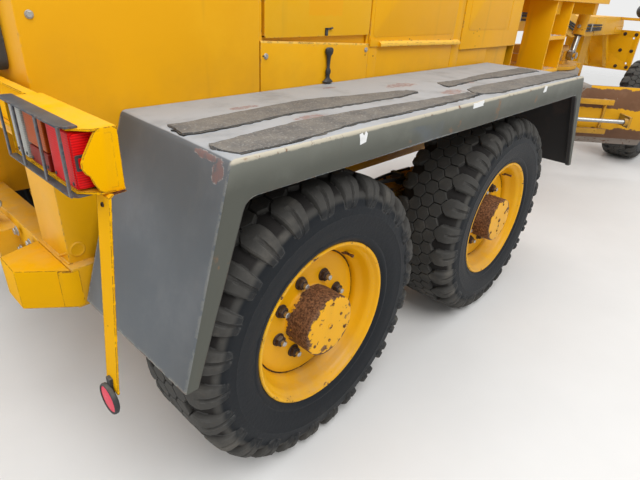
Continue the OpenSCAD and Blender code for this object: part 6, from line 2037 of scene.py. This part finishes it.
def beamDetails():
    bm = bmesh.new()
    for s in (1, -1):
        # reinforcing plates on the beam's sides, with their welds
        for x0, x1, z0, z1 in ((2.02, 2.3, 1.16, 1.38), (3.02, 3.25, 1.245, 1.415), (4.34, 4.66, 1.17, 1.325),
                               (5.12, 5.4, 1.175, 1.235)):
            flank(bm, oblong(x0, x1, z0, z1, 0.02), 0.1745, 0.1805, s, 0, 0.0015)
            ring = oblong(x0, x1, z0, z1, 0.02)
            tube(bm, [at(x, s * 0.1765, z) for x, z in ring + ring[:1]], 0.004, 6, 0)
    lathe(bm, [(0.062, 0), (0.065, 0.003), (0.065, 0.01), (0.03, 0.014)], alongZ(1.72, 0, 1.0), 36, 1)
    make("beamPlates", bm, "yellowPaint workPaint", "front_body")
    for s, label in ((1, "Left"), (-1, "Right")):
        bm = bmesh.new()
        for k, z in enumerate((1.3, 1.275, 1.252)):
            path = [at(x, s * (0.192 + 0.003 * math.sin(7 * x + k)),
                       z + 0.1 - beamDrop(x) - 0.04 + 0.003 * math.sin(5 * x + 2 * k))
                    for x in [2.1 + 0.05 * n for n in range(49)]]
            tube(bm, path, 0.0085, 8, 0)
        for x in (2.35, 2.8, 3.4, 3.85, 4.15):
            low = 1.3 - beamDrop(x)
            box(bm, (x, s * 0.1745, low), (x + 0.022, s * 0.203, low + 0.075), 0.003, 2, 1)
        make(f"beamHoses{label}", bm, "blackRubber zincBolt", "front_body")
    # front plate: bolts behind it; steps: studs for grip
    places = [at(5.4395, y, z) for y in (-0.34, -0.22, 0.22, 0.34) for z in (0.8, 0.98, 1.16)]
    bolts("plateBolts", places, "-X", "front_body", (0.026, 0.014, 0.02), "nutRust")
    places = [at(1.93 + 0.026 * k, s * y, z) for s in (1, -1) for z in (1.032, 1.242) for k in range(10)
              for y in (0.455, 0.487, 0.519, 0.551, 0.583)]
    dots("stepStuds", places, "+Z", "front_body", "studSteel", 0.011, 0.0028)


def axleDetails():
    for side, s in sides.items():
        bm = bmesh.new()
        lathe(bm, [(0, 0), (0.03, 0), (0.032, 0.003), (0.032, 0.01), (0.018, 0.015), (0, 0.016)],
              alongZ(4.5, s * 0.48, 0.5945), 28, 0)
        for a in range(4):
            hexBolt(bm, alongZ(4.5 + 0.021 * math.cos(a * tau / 4 + 0.4),
                               s * 0.48 + 0.021 * math.sin(a * tau / 4 + 0.4), 0.6045), 0.01, 0.006, 0.006, 1)
        make(f"kingpinCap_{side}", bm, "workPaint zincBolt", f"knuckle_{side}_body")
        bm = bmesh.new()
        boot = [(0, 0.0), (0.024, 0.0), (0.0255, 0.003), (0.021, 0.006), (0.0215, 0.009), (0.017, 0.011),
                (0.0175, 0.014), (0.012, 0.016), (0, 0.016)]
        lathe(bm, boot, alongZ(4.34, s * 0.48, 0.5315), 24, 0)
        hexBolt(bm, alongZ(4.34, s * 0.48, 0.547), 0.018, 0.012, 0.013, 1)
        for y in (0.36, 0.4):
            tube(bm, [at(4.34, s * y, 0.518), at(4.34, s * (y + 0.016), 0.518)], 0.0195, 16, 1)
        make(f"rodEnds_{side}", bm, "blackRubber zincBolt", "steering_rod_body")
    bolts("axlePinBolts", [at(4.5835, 0.052 * math.cos(tau * k / 6), 0.6 + 0.052 * math.sin(tau * k / 6))
                           for k in range(6)], "+X", "axle_body", (0.014, 0.001, 0.01))


bladeDetails()
liftDetails()
beamDetails()
axleDetails()
print("stage: blade, beam and front axle")


# Camera, light and floor
cameraLook = {"place": (-3.658, -1.83, 1.431), "yaw": 41.8314, "pitch": 27.3929, "roll": 3.3746, "lens": 27.083}


def makeCamera():
    yaw, pitch, roll = (math.radians(cameraLook[key]) for key in ("yaw", "pitch", "roll"))
    ahead = Vector((math.cos(yaw) * math.cos(pitch), math.sin(yaw) * math.cos(pitch), -math.sin(pitch)))
    right = Vector((math.sin(yaw), -math.cos(yaw), 0))
    up = right.cross(ahead)
    rolledRight = right * math.cos(roll) + up * math.sin(roll)
    rolledUp = up * math.cos(roll) - right * math.sin(roll)
    camera = bpy.data.objects.new("camera", bpy.data.cameras.new("camera"))
    camera.data.lens, camera.data.sensor_width = cameraLook["lens"], 36.0
    camera.data.clip_start, camera.data.clip_end = 0.05, 200.0
    turn = Matrix((rolledRight, rolledUp, -ahead)).transposed().to_4x4()
    camera.matrix_world = Matrix.Translation(cameraLook["place"]) @ turn
    scene.collection.objects.link(camera)
    scene.camera = camera


lightLook = {"world": 0.62, "pale": (0.9, 0.9, 0.895),
             # place, aim, size, power
             "areas": [((-3.5, -4.5, 6.5), (-1.5, -0.6, 0.6), 5.0, 330.0),
                       ((3.5, 5.0, 6.0), (0.5, 0.0, 0.8), 6.0, 260.0),
                       ((0.0, 0.0, 8.5), (0.0, 0.0, 0.0), 7.0, 300.0), ((-6.0, 1.5, 3.0), (-2.5, 0.0, 0.8), 3.5, 70.0)]}


def makeLights():
    world = bpy.data.worlds.new("studio")
    world.use_nodes = True
    tree = world.node_tree
    back = tree.nodes["Background"]
    back.inputs["Color"].default_value = (*lightLook["pale"], 1.0)
    path = addNode(back, "ShaderNodeLightPath").outputs
    seen = larger(path["Is Camera Ray"], larger(path["Is Glossy Ray"], path["Is Transmission Ray"]))
    strength = addNode(back, "ShaderNodeMapRange", {"Value": seen, "To Min": lightLook["world"],
        "To Max": 0.95}).outputs[0]
    feed(back, {"Strength": strength})
    scene.world = world
    for k, (spot, aim, size, power) in enumerate(lightLook["areas"]):
        lamp = bpy.data.lights.new(f"softBox{k}", "AREA")
        lamp.energy, lamp.size, lamp.shape = power, size, "DISK"
        holder = bpy.data.objects.new(lamp.name, lamp)
        holder.location = spot
        holder.rotation_euler = (Vector(aim) - Vector(spot)).to_track_quat("-Z", "Y").to_euler()
        scene.collection.objects.link(holder)


def makeFloor():
    material, shader, place = newMaterial("paleFloor", (0.72, 0.71, 0.7))
    cloud = effect("grain", place, Scale=3.0, Rough=0.6)
    feed(shader, {"Base Color": blendColour(cloud, (0.7, 0.695, 0.685), (0.76, 0.755, 0.745))})
    far = vectors("LENGTH", place)
    feed(shader, {"Alpha": smooth(far, 13.0, 4.5), "Roughness": 0.85, "Specular IOR Level": 0.2})
    bm = bmesh.new()
    bmesh.ops.create_grid(bm, x_segments=1, y_segments=1, size=60.0)
    floor = newObject("floor", bm)
    floor.data.materials.append(material)


makeCamera()
makeLights()
makeFloor()
scene.view_settings.view_transform = "Standard"

# The CAD nodes that show as they are
cadFinish = {"rear_frame": "yellowPaint", "fender_brackets": "yellowPaint", "rear_axle": "workPaint",
             "engine": "engineIron", "hood": "hoodPaint", "rear_grille": "darkPaint",
             "lamp_bar": "barPaint", "lamp_guards": "darkPaint", "exhaust": "darkPaint", "tandem": "workPaint",
             "gooseneck": "yellowPaint",
             "cab_shell": "yellowPaint", "cab_glass": "windowGlass", "cab_door": "yellowPaint",
             "door_glass": "windowGlass",
             "hood_door": "hoodPaint", "seat": "seatVinyl", "controls": "darkPlastic", "cab_steps": "darkPaint",
             "lights_and_mirrors": "darkPlastic", "lift_barrel": "workPaint", "lift_rod": "chromeRod",
             "drawbar": "workPaint",
             "blade_circle": "wornSteel", "shift_barrel": "workPaint", "moldboard": "bladeSteel",
             "cutting_edge": "wornSteel",
             "front_axle": "workPaint", "knuckle": "workPaint", "steering_rod": "chromeRod", "fender": "fenderPaint",
             "tail_lamps": "lensRed", "reflectors": "reflectorPink", "rim": "rimPaint", "tyre": "tyreRubber"}
for nodeName, node in nodes.items():
    stem = max((key for key in cadFinish if nodeName.startswith(key)), key=len)
    node.data.materials.clear()
    node.data.materials.append(materials[cadFinish[stem]])
print("stage: CAD finishes")
